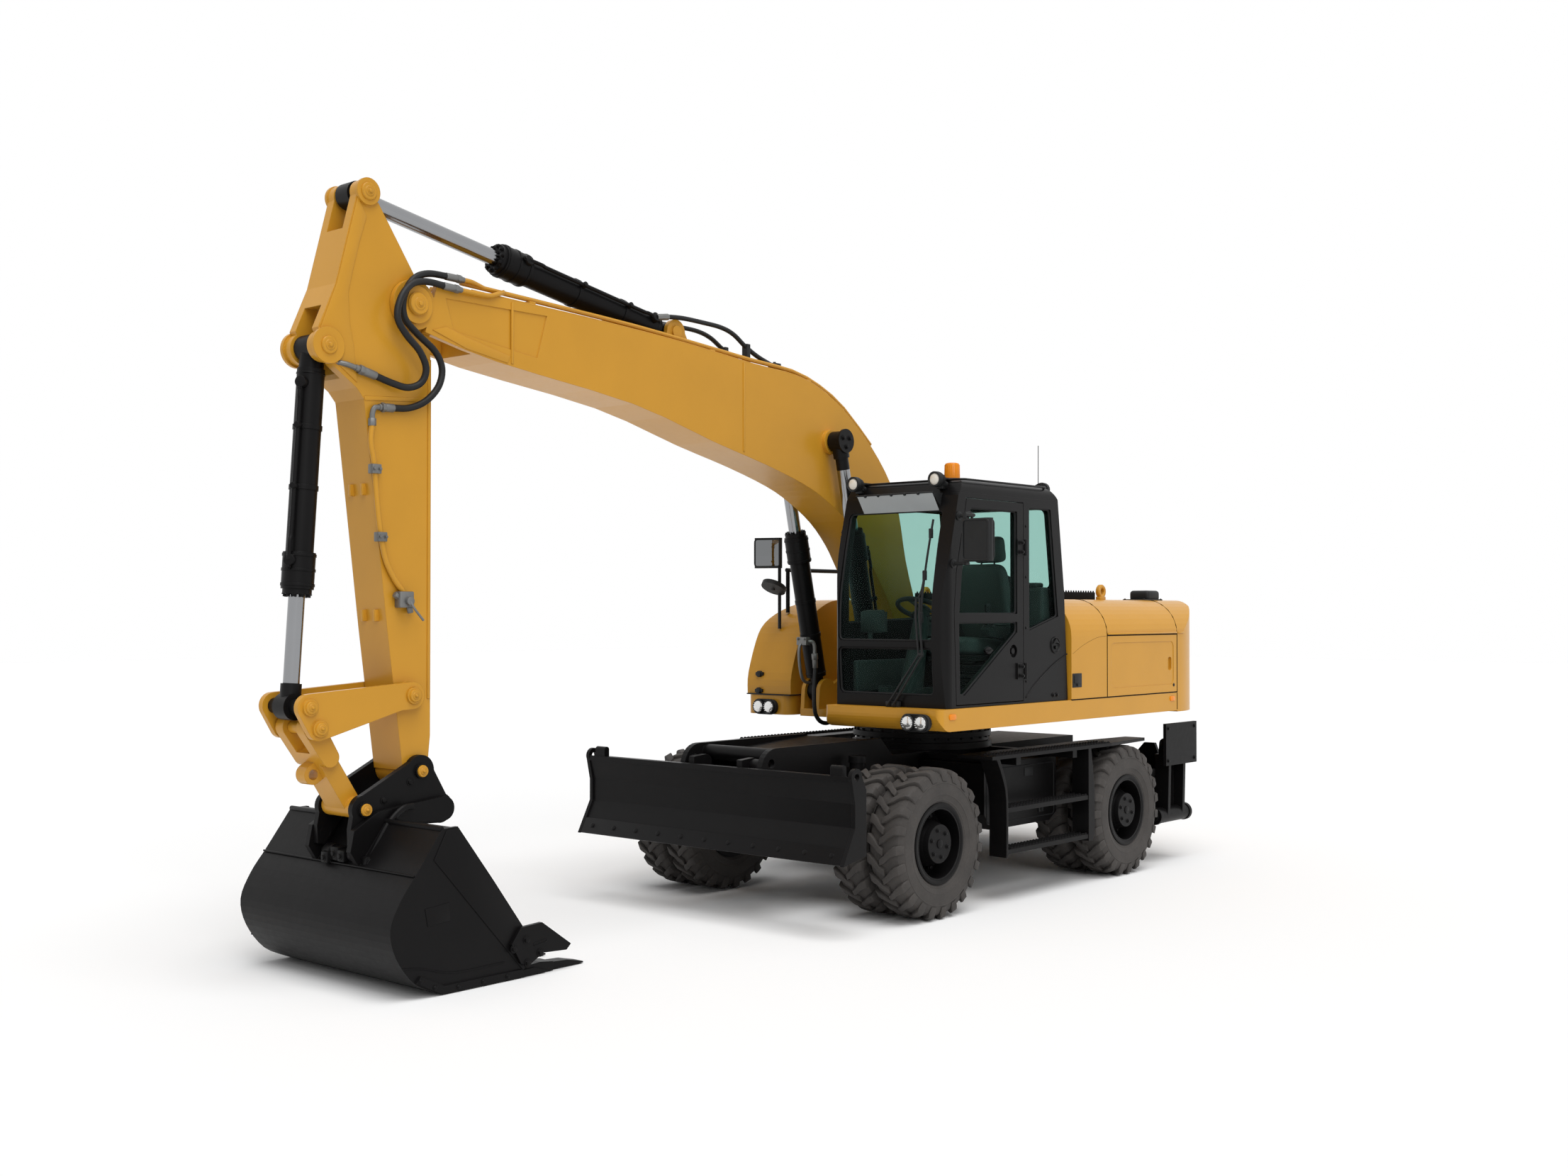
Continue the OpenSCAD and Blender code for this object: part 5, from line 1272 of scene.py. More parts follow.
class EXCAVATOR_OT_cab_trim(bpy.types.Operator):
    """Adds gaskets, visor, wiper, hinges, handles and seams to the cab"""

    bl_idname = "excavator.cab_trim"
    bl_label = "Cab trim"

    # Height and place of the windscreen's outer face
    SCREEN = (
        (1.5, 1.381), (1.56, 1.385), (1.7, 1.396), (1.88, 1.405), (2.0, 1.407), (2.15, 1.404), (2.3, 1.392),
        (2.6, 1.333), (2.85, 1.27), (3.0, 1.233),
    )
    DOOR_HIGH = ((0.51, 2.125), (1.256, 2.125), (1.222, 2.42), (1.11, 2.885), (0.51, 2.885))
    DOOR_LOW = ((0.51, 2.065), (0.51, 1.99), (1.19, 1.545), (1.246, 1.55), (1.258, 2.065))
    QUARTER = ((0.045, 2.92), (-0.062, 2.105), (0.345, 2.0), (0.345, 2.92))
    RIGHT = ((0.08, 2.93), (-0.02, 2.25), (0.06, 2.1), (1.3, 2.06), (1.3, 2.4), (1.19, 2.93))
    LEFT_FACE = 1.25
    RIGHT_FACE = 0.235
    PANE_SUNK = 0.019
    GASKET_R = 0.009
    VISOR_LOW = (1.288, 2.868)
    VISOR_HIGH = (1.372, 2.99)
    VISOR_T = 0.006
    VISOR_WING = ((1.262, 2.88), (1.372, 2.985), (1.252, 2.99))
    WIPER_HEIGHTS = (1.95, 2.1, 2.25, 2.4, 2.55, 2.7, 2.8)
    SIDE_SEAM = ((-0.187, 1.814), (-0.02, 1.752), (0.14, 1.672), (0.28, 1.588), (0.392, 1.5))
    RECESS = ((0.03, 0.001), (0.05, 0.001), (0.056, 0.009), (0.063, 0.008), (0.067, -0.003), (0.03, -0.003))
    LATCH = ((-0.07, 1.893), (-0.019, 1.938), (0.032, 1.893), (-0.019, 1.905))
    ROOF_LIP = ((1.19, 0.25), (1.19, 1.236), (0.06, 1.236), (0.06, 0.25))

    def screen_x(self, z):
        for (low_z, low_x), (high_z, high_x) in zip(self.SCREEN, self.SCREEN[1:]):
            if z <= high_z:
                return low_x + (high_x - low_x) * (z - low_z) / (high_z - low_z)
        return self.SCREEN[-1][1]

    def on_screen(self, outline, out):
        """Outline in Y and Z, laid on the curved windscreen."""
        dense = []
        for a, b in zip(outline, outline[1:] + outline[:1]):
            count = max(1, int((Vector(b) - Vector(a)).length / 0.06))
            dense += [Vector(a).lerp(Vector(b), k / count) for k in range(count)]
        return [(self.screen_x(p[1]) + out, p[0], p[1]) for p in dense]

    def gaskets(self):
        parts = []
        for low, high in ((1.935, 2.865), (1.55, 1.88)):
            outline = rectangle(0.29, low, 1.13, high, 0.04)
            parts.append(frame_tube(self.on_screen(outline, 0.004), self.GASKET_R))
        left_y = self.LEFT_FACE - self.PANE_SUNK
        for outline, y in ((self.QUARTER, left_y), (self.RIGHT, self.RIGHT_FACE + self.PANE_SUNK)):
            parts.append(frame_tube(at_y(outline, y), self.GASKET_R, 0.03))
        piece(parts, "cab_gaskets", "seal", "house", 60)
        panes = (self.DOOR_HIGH, self.DOOR_LOW)
        parts = [frame_tube(at_y(pane, left_y), self.GASKET_R, 0.03) for pane in panes]
        piece(parts, "door_gaskets", "seal", "cab_door", 60)

    def visor(self):
        low, high = Vector(self.VISOR_LOW), Vector(self.VISOR_HIGH)
        rise = (high - low).normalized()
        out = Vector((rise[1], -rise[0])) * self.VISOR_T
        sheet = plate([low, high, high + out, low + out], 0.425, 1.1, 0.001)
        piece([sheet], "rain_visor", "visor", "house")
        parts = [bar((1.374, 0.415, 2.99), (1.374, 1.112, 2.99), 0.006, 12, 0)]
        parts += bolts((1, 0, -0.6), 0.016, 0.01, ((1.378, y, 2.985) for y in (0.5, 0.62, 0.74, 0.86, 0.98)))
        for y in (1.1, 0.419):
            parts.append(plate(self.VISOR_WING, y, y + self.VISOR_T, 0.001))
        for y in (0.345, 1.086):
            parts.append(block((1.225, y - 0.028, 3.02), (1.262, y + 0.028, 3.098), 0.005))
            parts.append(bar((1.245, y - 0.045, 3.055), (1.245, y + 0.045, 3.055), 0.014, 16, 0.003))
            parts.append(bolt((1.245, y + 0.045, 3.055), LEFT, 0.024))
        piece(parts, "visor_frame", "plastic", "house")

    def wiper(self):
        parts = []
        for shift in (0.0, 0.032):
            foot = (1.452, 0.76 + shift * 1.6, 1.472)
            elbow = (1.442, 1.03 + shift, 1.835)
            knee = (1.436, 1.0 + shift, 2.11)
            tip = (1.418, 0.992 + shift, 2.235)
            parts.append(tube([foot, elbow, knee, tip], 0.0085, 1, 2))
            parts.append(bar(foot, (1.415, foot[1], 1.478), 0.017, 16, 0.003))
        parts.append(block((1.405, 0.73, 1.455), (1.44, 0.85, 1.5), 0.008))
        parts.append(bar((1.444, 1.03, 1.835), (1.432, 1.066, 1.838), 0.016, 16, 0.003))
        blade = [(self.screen_x(z) + 0.02, 1.035 + 0.028 * (z - 1.95), z) for z in self.WIPER_HEIGHTS]
        parts.append(tube(blade, 0.0075, 2, 2))
        parts.append(tube([(x - 0.008, y, z) for x, y, z in blade], 0.004, 2, 1))
        for x, y, z in blade[1:6:2]:
            parts.append(block((x - 0.012, y - 0.014, z - 0.035), (x + 0.01, y + 0.014, z + 0.035), 0.004))
        parts.append(tube([(1.418, 1.01, 2.235), (1.41, 1.035, 2.3), (1.385, 1.045, 2.42)], 0.0075, 3, 2))
        piece(parts, "wiper", "plastic", "house")

    def side_trim(self):
        face = self.LEFT_FACE
        spot = Vector((-0.019, face, 1.885))
        parts = [
            tube(at_y(self.SIDE_SEAM, face), 0.006, 6, 2),
            lathe(self.RECESS, spot, spot + LEFT, 40),
            plate(self.LATCH, face, face + 0.014),
            bar((-0.019, face, 1.868), (-0.019, face + 0.012, 1.868), 0.013, 16, 0.002),
        ]
        parts += bolts(LEFT, 0.026, 0.012, ((x, face, 1.505) for x in (-0.04, 0.012)))
        parts += bolts(LEFT, 0.014, 0.006, ((0.388, face, z) for z in (1.62, 2.02, 2.4, 2.78)))
        piece(parts, "cab_side_trim", "cab", "house")

        parts = bolts(LEFT, 0.022, 0.012, ((0.475, 1.277, z) for z in (1.665, 1.735, 2.585, 2.655)))
        grip = rounded([(0.815, 1.86), (0.875, 1.895), (0.935, 1.86), (0.875, 1.825)], 0.03)
        parts.append(plate(grip, 1.224, 1.246, 0.004))
        pull = ((0.84, 1.246, 1.862), (0.86, 1.262, 1.86), (0.9, 1.262, 1.855), (0.92, 1.246, 1.85))
        parts.append(tube(pull, 0.008, 4, 2))
        piece(parts, "door_trim", "cab", "cab_door")

    def roof_trim(self):
        parts = [tube([(-0.02, 1.1, 3.035), (-0.02, 1.1, 3.12), (-0.022, 1.1, 3.425)], 0.0028, 1, 2)]
        parts += bars(
            ((-0.02, 1.1, 3.02), (-0.02, 1.1, 3.075), 0.02, 20, 0.004, 0.01),
            ((0.04, 1.16, 3.06), (0.04, 1.16, 3.105), 0.016, 20, 0.004),
        )
        parts.append(frame_tube(at_z(rounded(self.ROOF_LIP, 0.06), 3.088), 0.008))
        parts.append(frame_tube(at_z(rectangle(0.325, 0.36, 1.065, 0.915, 0.06), 3.084), 0.013))
        piece(parts, "roof_trim", "cab", "house")

    def execute(self, context):
        self.gaskets()
        self.visor()
        self.wiper()
        self.side_trim()
        self.roof_trim()
        return {"FINISHED"}


class EXCAVATOR_OT_cab_inside(bpy.types.Operator):
    """Makes the padded seat, the console pads, grips, screen and rear shelf"""

    bl_idname = "excavator.cab_inside"
    bl_label = "Cab inside"

    MIDDLE = 0.7225
    ARM_REST = 0.298
    # Axis, place, width and depth of each sewn groove
    RIBS = (
        ("y", 0.62, 0.05, 0.012), ("x", -0.35, 0.05, 0.008), ("x", 0.1, 0.05, 0.008),
        ("x", 0.55, 0.05, 0.008),
    )
    BOOT = (
        (0.0, 0.062), (0.017, 0.062), (0.02, 0.05), (0.03, 0.044), (0.028, 0.032), (0.04, 0.024),
        (0.038, 0.01), (0.05, 0.0), (0.0, 0.0),
    )
    GRIP = (
        (0.0, 0.172), (0.018, 0.17), (0.027, 0.155), (0.026, 0.12), (0.022, 0.09), (0.024, 0.06),
        (0.016, 0.052), (0.0, 0.052),
    )
    RIM = ((0.186, -0.008), (0.196, -0.02), (0.208, -0.008), (0.208, 0.008), (0.196, 0.02), (0.186, 0.008))
    HUB = ((0, 0.03), (0.03, 0.03), (0.052, 0.018), (0.058, 0.0), (0.0, 0.0))
    WHEEL_PLACE = (0.97, MIDDLE, 2.157)
    WHEEL_AXIS = (-0.407, 0, 0.914)
    WHEEL_LEVER = ((0.02, 0.05, -0.05), (0.03, 0.14, -0.03), (0.02, 0.2, 0.0))

    def cushion(self, name, obj, place, lean, fill):
        obj.data.transform(Matrix.Translation(place) @ Matrix.Rotation(lean, 4, "Y"))
        piece([obj], name, "fabric", "house", 60)
        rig.padded(obj, fill)
        return obj

    def seat(self, middle):
        seat = pad((0.53, 0.49, 0.125), 0.018, 0.022, self.RIBS)
        seat = self.cushion("seat_cushion", seat, (0.43, middle, 1.868), math.radians(-3), 0.8)
        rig.replaces(seat, "cab_seat")
        back = pad((0.64, 0.47, 0.115), 0.016, 0.034, self.RIBS)
        self.cushion("seat_back", back, (0.155, middle, 2.205), math.radians(-76), 0.8)
        rest = pad((0.21, 0.28, 0.085), 0.012, 0.0, (("x", 0.0, 0.08, 0.006),), 14)
        self.cushion("head_rest", rest, (0.095, middle, 2.625), math.radians(-80), 0.85)
        for side, hand in ((-1, "right"), (1, "left")):
            arm = pad((0.31, 0.075, 0.05), 0.006, 0.0, (), 12)
            self.cushion(f"arm_rest_{hand}", arm, (0.36, middle + side * self.ARM_REST, 2.058), 0.0, 0.9)

        parts = blocks(
            ((0.19, middle - 0.18, 1.52), (0.56, middle + 0.18, 1.56), 0.008),
            ((0.17, middle - 0.215, 1.77), (0.63, middle + 0.215, 1.812), 0.012),
            ((0.085, middle - 0.2, 1.9), (0.125, middle + 0.2, 2.42), 0.016),
        )
        for index in range(6):
            wide = 0.165 if index % 2 else 0.18
            low = 1.555 + index * 0.036
            foot, top = (0.36 - wide, middle - wide, low), (0.36 + wide, middle + wide, low + 0.038)
            parts.append(block(foot, top, 0.014))
        for y in (middle - 0.06, middle + 0.06):
            parts.append(bar((0.118, y, 2.47), (0.1, y, 2.6), 0.007, 12, 0))
        piece(parts, "seat_frame", "plastic", "house")

    def controls(self, middle):
        parts = []
        for y in (middle - self.ARM_REST, middle + self.ARM_REST):
            foot = Vector((0.545, y, 2.03))
            parts.append(lathe(self.BOOT, foot, foot + UP, 28))
            parts.append(lathe(self.GRIP, foot, foot + Vector((0.1, 0, 1)), 24))
            start, end = foot + Vector((0.03, 0, 0.15)), foot + Vector((0.044, 0, 0.158))
            parts.append(bar(start, end, 0.007, 12, 0.001))
        hub = Vector(self.WHEEL_PLACE)
        axis = Vector(self.WHEEL_AXIS)
        parts.append(lathe(self.RIM, hub, hub + axis, 56))
        parts.append(lathe(self.HUB, hub, hub + axis, 32))
        parts.append(tube([hub + Vector(step) for step in self.WHEEL_LEVER], 0.007, 4, 2))
        for y in (middle - 0.19, middle + 0.185):
            for index in range(5):
                x = 1.095 + index * 0.03
                parts.append(block((x, y - 0.04, 1.585), (x + 0.014, y + 0.04, 1.594), 0.002))
        piece(parts, "grips_and_wheel", "plastic", "house")

    def panels(self):
        parts = blocks(
            ((1.098, 0.3, 2.0), (1.122, 0.47, 2.155), 0.01),
            ((1.118, 0.292, 1.985), (1.166, 0.478, 2.15), 0.016),
            ((-0.105, 0.33, 1.525), (0.03, 1.165, 2.33), 0.03, 3),
            ((-0.085, 0.38, 2.325), (0.02, 1.11, 2.365), 0.016, 3),
            ((0.1, 1.07, 1.54), (0.36, 1.165, 1.9), 0.025, 3),
            ((0.52, 0.3, 1.54), (1.28, 0.35, 1.78), 0.018, 3),
        )
        parts.append(bar((1.14, 0.36, 1.9), (1.14, 0.36, 1.99), 0.02, 16, 0.003))
        piece(parts, "cab_panels", "trim", "house")
        screen = block((1.0955, 0.316, 2.016), (1.1005, 0.454, 2.139), 0.002)
        piece([screen], "monitor_screen", "screen", "house")
        parts = [block((0.6, 0.38, 1.5185), (1.3, 1.1, 1.527), 0.003)]
        for index in range(11):
            x = 0.62 + index * 0.06
            parts.append(block((x, 0.4, 1.526), (x + 0.02, 1.08, 1.53), 0.0015))
        piece(parts, "floor_mat", "seal", "house")

    def execute(self, context):
        self.seat(self.MIDDLE)
        self.controls(self.MIDDLE)
        self.panels()
        return {"FINISHED"}


class EXCAVATOR_OT_lamps(bpy.types.Operator):
    """Adds lamp lenses with bezels, the ribbed beacon, markers and mirror glass"""

    bl_idname = "excavator.lamps"
    bl_label = "Lamps and mirrors"

    BOWL = ((0.0, 0.012), (0.016, 0.011), (0.03, 0.007), (0.041, 0.001), (0.0435, -0.004), (0.0, -0.004))
    HEAD = ((0.0, 0.014), (0.02, 0.013), (0.036, 0.009), (0.049, 0.002), (0.052, -0.004), (0.0, -0.004))
    HEAD_BEZEL = ((0.05, 0.002), (0.0535, 0.007), (0.0575, 0.002), (0.0575, -0.012), (0.05, -0.012))
    HEAD_PLACES = ((1.57, 1.08), (0.778, -1.038))
    HEAD_Z = 1.362
    WORK_BEZEL = ((0.042, 0.004), (0.047, 0.008), (0.0555, 0.004), (0.057, -0.03), (0.05, -0.03))
    # Place and the way it shines
    WORK_LAMPS = ((1.3275, 0.345, 1), (1.3275, 1.086, 1), (-0.108, 1.095, -1))
    WORK_Z = 3.086
    BEACON = (1.0, 1.01, 3.09)
    DOME = (
        (0.0, 0.1395), (0.03, 0.1385), (0.048, 0.133), (0.0545, 0.122), (0.0565, 0.03), (0.0575, 0.021),
        (0.0, 0.021),
    )
    BEACON_FOOT = ((0.0, 0.024), (0.058, 0.024), (0.061, 0.018), (0.066, 0.016), (0.066, 0.0), (0.0, 0.0))
    MIRROR_FOOT = ((0.0, 0.02), (0.018, 0.02), (0.02, 0.01), (0.032, 0.008), (0.032, -0.001), (0.0, -0.001))
    MIRROR_LOOP = ((1.372, 1.372, 2.825), (1.275, 1.372, 2.84), (1.275, 1.372, 2.54), (1.372, 1.372, 2.53))
    RIGHT_MIRROR = (0.7, -1.05, 2.62)
    # X, z, low y and high y
    MARKERS = (
        (1.377, 1.402, 1.262, 1.283), (-1.84, 1.405, 1.262, 1.283),
        (0.6, 1.402, -1.2748, -1.262), (-1.84, 1.405, -1.2748, -1.262),
    )

    def head_lamps(self):
        """Adds the lenses and returns the bezels."""
        lenses, bezels = [], []
        for x, y in self.HEAD_PLACES:
            for shift in (-0.058, 0.058):
                spot = Vector((x, y + shift, self.HEAD_Z))
                lenses.append(lathe(self.HEAD, spot, spot + FORWARD, 36))
                bezels.append(lathe(self.HEAD_BEZEL, spot, spot + FORWARD, 40))
                for index in range(5):
                    z = -0.03 + index * 0.015
                    wide = math.sqrt(0.048**2 - z * z)
                    left, right = spot + Vector((0.006, -wide, z)), spot + Vector((0.006, wide, z))
                    lenses.append(bar(left, right, 0.003, 8, 0))
            rim = rectangle(y - 0.117, 1.305, y + 0.117, 1.419, 0.057, 8)
            bezels.append(frame_tube(at_x(rim, x - 0.019), 0.007))
        piece(lenses, "head_lamp_lenses", "lens", "house", 40)
        return bezels

    def work_lamps(self):
        """Adds the lenses and returns the bezels and fins."""
        lenses, bezels = [], []
        for x, y, way in self.WORK_LAMPS:
            spot = Vector((x - way * 0.001, y, self.WORK_Z))
            front = spot + FORWARD * way
            lenses.append(lathe(self.BOWL, spot, front, 36))
            bezels.append(lathe(self.WORK_BEZEL, spot, front, 40))
            for index in range(4):
                wide = 0.0555 - 0.004 * index
                fin = ((0.03, 0), (wide, 0), (wide, -0.005), (0.03, -0.005))
                bezels.append(lathe(fin, spot - FORWARD * way * (0.036 + 0.013 * index), front, 36))
        piece(lenses, "work_lamp_lenses", "work_lens", "house", 40)
        return bezels

    def beacon(self):
        base = Vector(self.BEACON)

        def rib(angle):
            way = Vector((math.cos(angle), math.sin(angle), 0))
            return bar(base + way * 0.0555 + UP * 0.026, base + way * 0.0535 + UP * 0.12, 0.0022, 6, 0)

        parts = [lathe(self.DOME, base, base + UP, 48), ring_of(rib, 24)]
        lens = piece(parts, "beacon_lens", "amber", "house", 40)
        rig.replaces(lens, "beacon")
        parts = [lathe(self.BEACON_FOOT, base, base + UP, 48)]
        for turn in THREE_TURNS:
            spot = base + Vector((0.063 * math.cos(turn), 0.063 * math.sin(turn), 0.0))
            parts.append(bolt(spot, UP, 0.01, 0.02))
        piece(parts, "beacon_base", "plastic", "house")

    def mirrors(self):
        turn = Matrix.Translation(self.RIGHT_MIRROR) @ Matrix.Rotation(math.radians(20), 4, "Z")
        left = block((1.3375, 1.392, 2.508), (1.3415, 1.594, 2.772), 0.001)
        right = block((0.0275, -0.102, -0.102), (0.0305, 0.102, 0.112), 0.001)
        right.data.transform(turn)
        piece([left, right], "mirror_glass", "mirror", "house")
        edge = frame_tube(at_x(rectangle(-0.11, -0.11, 0.11, 0.12, 0.03), 0.028), 0.007)
        edge.data.transform(turn)
        parts = [edge]
        rim = rectangle(1.384, 2.5, 1.6, 2.78, 0.03)
        parts += [frame_tube(at_x(rim, x), 0.007) for x in (1.342, 1.406)]
        for z in (2.53, 2.64, 2.75):
            parts.append(block((1.356, 1.366, z - 0.016), (1.394, 1.396, z + 0.016), 0.004))
        for x, z in ((1.33, 2.48), (1.262, 2.82)):
            parts.append(lathe(self.MIRROR_FOOT, (x, 1.25, z), (x, 2.25, z), 24))
        parts.append(frame_tube(self.MIRROR_LOOP, 0.01, 0.03))
        piece(parts, "mirror_frames", "plastic", "house")

    def execute(self, context):
        bezels = self.head_lamps()
        bezels += self.work_lamps()
        piece(bezels, "lamp_bezels", "plastic", "house")
        self.beacon()
        self.mirrors()
        parts = []
        for x, z, low, high in self.MARKERS:
            outline = rectangle(x - 0.04, z - 0.02, x + 0.04, z + 0.02, 0.018)
            parts.append(plate(outline, low, high, 0.002))
        piece(parts, "side_markers", "marker", "house")
        return {"FINISHED"}


class EXCAVATOR_OT_house(bpy.types.Operator):
    """Adds painted shade lines in the panel gaps, latches, walkway cleats, lifting eyes and the cooler's grille to the
    house
    """

    bl_idname = "excavator.house_details"
    bl_label = "House details"

    SIDE = 1.275
    TOP = 2.24
    SHOULDER = 0.29
    GAP_R = 0.006
    # Painted shade lines in the panel gaps and under the hood's lip on the flat sides, in X and Z
    GAPS = (
        ((-1.93, 1.951), (-1.35, 1.951), (-0.762, 1.951)),
        ((-1.93, 1.458), (-1.2, 1.458), (-0.215, 1.458)),
        ((-1.93, 1.31), (-1.93, 1.45)),
    )
    # Painted shade line in the gap between the house and the cab
    CAB_GAP = ((-0.762, 1.949), (-0.6, 1.935), (-0.4, 1.882), (-0.235, 1.815))
    EYE = (-1.298, 0.905, 2.31)
    EYE_RING = (
        (0.026, -0.014), (0.034, -0.02), (0.05, -0.02), (0.058, -0.012), (0.058, 0.012), (0.05, 0.02),
        (0.034, 0.02), (0.026, 0.014),
    )

    def shell_path(self, low, hand, inner=0.76):
        """Up the side, round the shoulder and over the top to the walkway."""
        side, radius = self.SIDE, self.SHOULDER
        bend = self.TOP - radius
        path = [(side, low), (side, 1.7), (side, bend)]
        for index in range(1, 7):
            angle = math.radians(15 * index)
            path.append((side - radius + radius * math.cos(angle), bend + radius * math.sin(angle)))
        path.append((inner, self.TOP))
        sink = 0.0025 if hand > 0 else 0.0065
        return [(hand * (y - sink), z - 0.001) for y, z in path]

    def gaps(self):
        parts = []
        # The dark tubes are painted shade: they stand in for the shade in the panel gaps and under the hood's lip.
        for x in (-0.76, -1.93):
            for hand in (1, -1):
                parts.append(tube(at_x(self.shell_path(1.46, hand), x), self.GAP_R, 1, 2))
        for y in (1.2725, -1.2685):
            parts += [tube(at_y(line, y), self.GAP_R, 1, 2) for line in self.GAPS]
        parts.append(tube(at_y(self.CAB_GAP, 1.2718), 0.0036, 5, 2))
        piece(parts, "painted_gap_shade_lines", "gap", "house", 60)
        parts = blocks(
            ((-1.924, 1.266, 1.956), (-0.766, 1.284, 1.972), 0.006),
            ((-2.05, 1.266, 1.956), (-1.936, 1.284, 1.972), 0.006),
        )
        piece(parts, "hood_lip", "enamel", "house")

    def latches(self):
        parts = blocks(
            ((-0.366, 1.266, 1.552), (-0.226, 1.2785, 1.662), 0.004),
            ((-0.345, 1.276, 1.585), (-0.247, 1.284, 1.648), 0.004),
            ((0.0, -1.262, 1.456), (0.735, -0.79, 1.466), 0.003),
        )
        parts += bars(
            ((-0.296, 1.28, 1.571), (-0.296, 1.288, 1.571), 0.011, 20, 0.002),
            ((-1.868, 1.268, 1.52), (-1.868, 1.28, 1.52), 0.014, 20, 0.003),
        )
        for x, z in ((0.706, 1.489), (0.698, 1.626)):
            parts.append(bar((x - 0.01, -1.14, z), (x + 0.03, -1.14, z), 0.026, 20, 0.005))
            parts.append(block((x - 0.006, -1.18, z - 0.014), (x + 0.02, -1.1, z + 0.014), 0.005))
        piece(parts, "house_latches", "plastic", "house")

    def walkways(self):
        parts = blocks(
            ((-1.52, -0.7, 2.238), (-0.88, 0.7, 2.246), 0.002),
            ((-1.52, 0.7, 2.238), (-0.88, 0.722, 2.306), 0.004),
            ((-1.52, -0.722, 2.238), (-0.88, -0.7, 2.306), 0.004),
        )
        for row in range(9):
            for column in range(18):
                x = -1.49 + row * 0.072 + 0.018 * (column % 2)
                y = -0.66 + column * 0.0775
                parts.append(bar((x, y, 2.245), (x, y, 2.2615), 0.014, 8, 0, 0.01))
        for index in range(16):
            x = -1.505 + index * 0.04
            parts += [bar((x, y, 2.304), (x, y, 2.32), 0.01, 6, 0, 0.005) for y in (0.711, -0.711)]
        piece(parts, "walkway", "tread", "hood_lid")

        parts = [block((-0.7, -0.7, 2.238), (-0.4, 0.2, 2.247), 0.003)]
        for row in range(4):
            for column in range(11):
                x, y = -0.67 + row * 0.08, -0.655 + column * 0.08
                parts.append(bar((x, y, 2.246), (x, y, 2.262), 0.014, 8, 0, 0.01))
        piece(parts, "front_walkway", "tread", "house")

    def top_pieces(self):
        eye = Vector(self.EYE)
        parts = [lathe(self.EYE_RING, eye, eye + LEFT, 40)]
        parts.append(block((-1.345, 0.883, 2.236), (-1.251, 0.927, 2.268), 0.006))
        parts += [copied(part, Matrix.Translation((0, -1.81, 0))) for part in parts]
        piece(parts, "lifting_eyes", "enamel", "house")

        parts = blocks(
            ((-2.175, 0.8, 2.232), (-1.96, 0.985, 2.325), 0.028, 4),
            ((-2.195, 0.785, 2.234), (-1.875, 1.0, 2.25), 0.005),
            ((-2.19, 0.85, 2.262), (-2.165, 0.935, 2.305), 0.006),
        )
        parts += bolts(UP, 0.014, 0.007, ((x, y, 2.249) for x in (-2.185, -1.89) for y in (0.8, 0.985)))
        piece(parts, "rear_camera_hood", "plastic", "house")

    def grille(self):
        parts = []
        for index in range(12):
            z = 1.56 + index * 0.026
            parts.append(block((-1.66, -1.2735, z), (-1.02, -1.262, z + 0.012), 0.003))
        parts.append(block((-1.69, -1.2715, 1.54), (-0.99, -1.262, 1.875), 0.003))
        piece(parts, "cooler_grille", "plastic", "right_service_door")

    def execute(self, context):
        self.gaps()
        self.latches()
        self.walkways()
        self.top_pieces()
        self.grille()
        return {"FINISHED"}


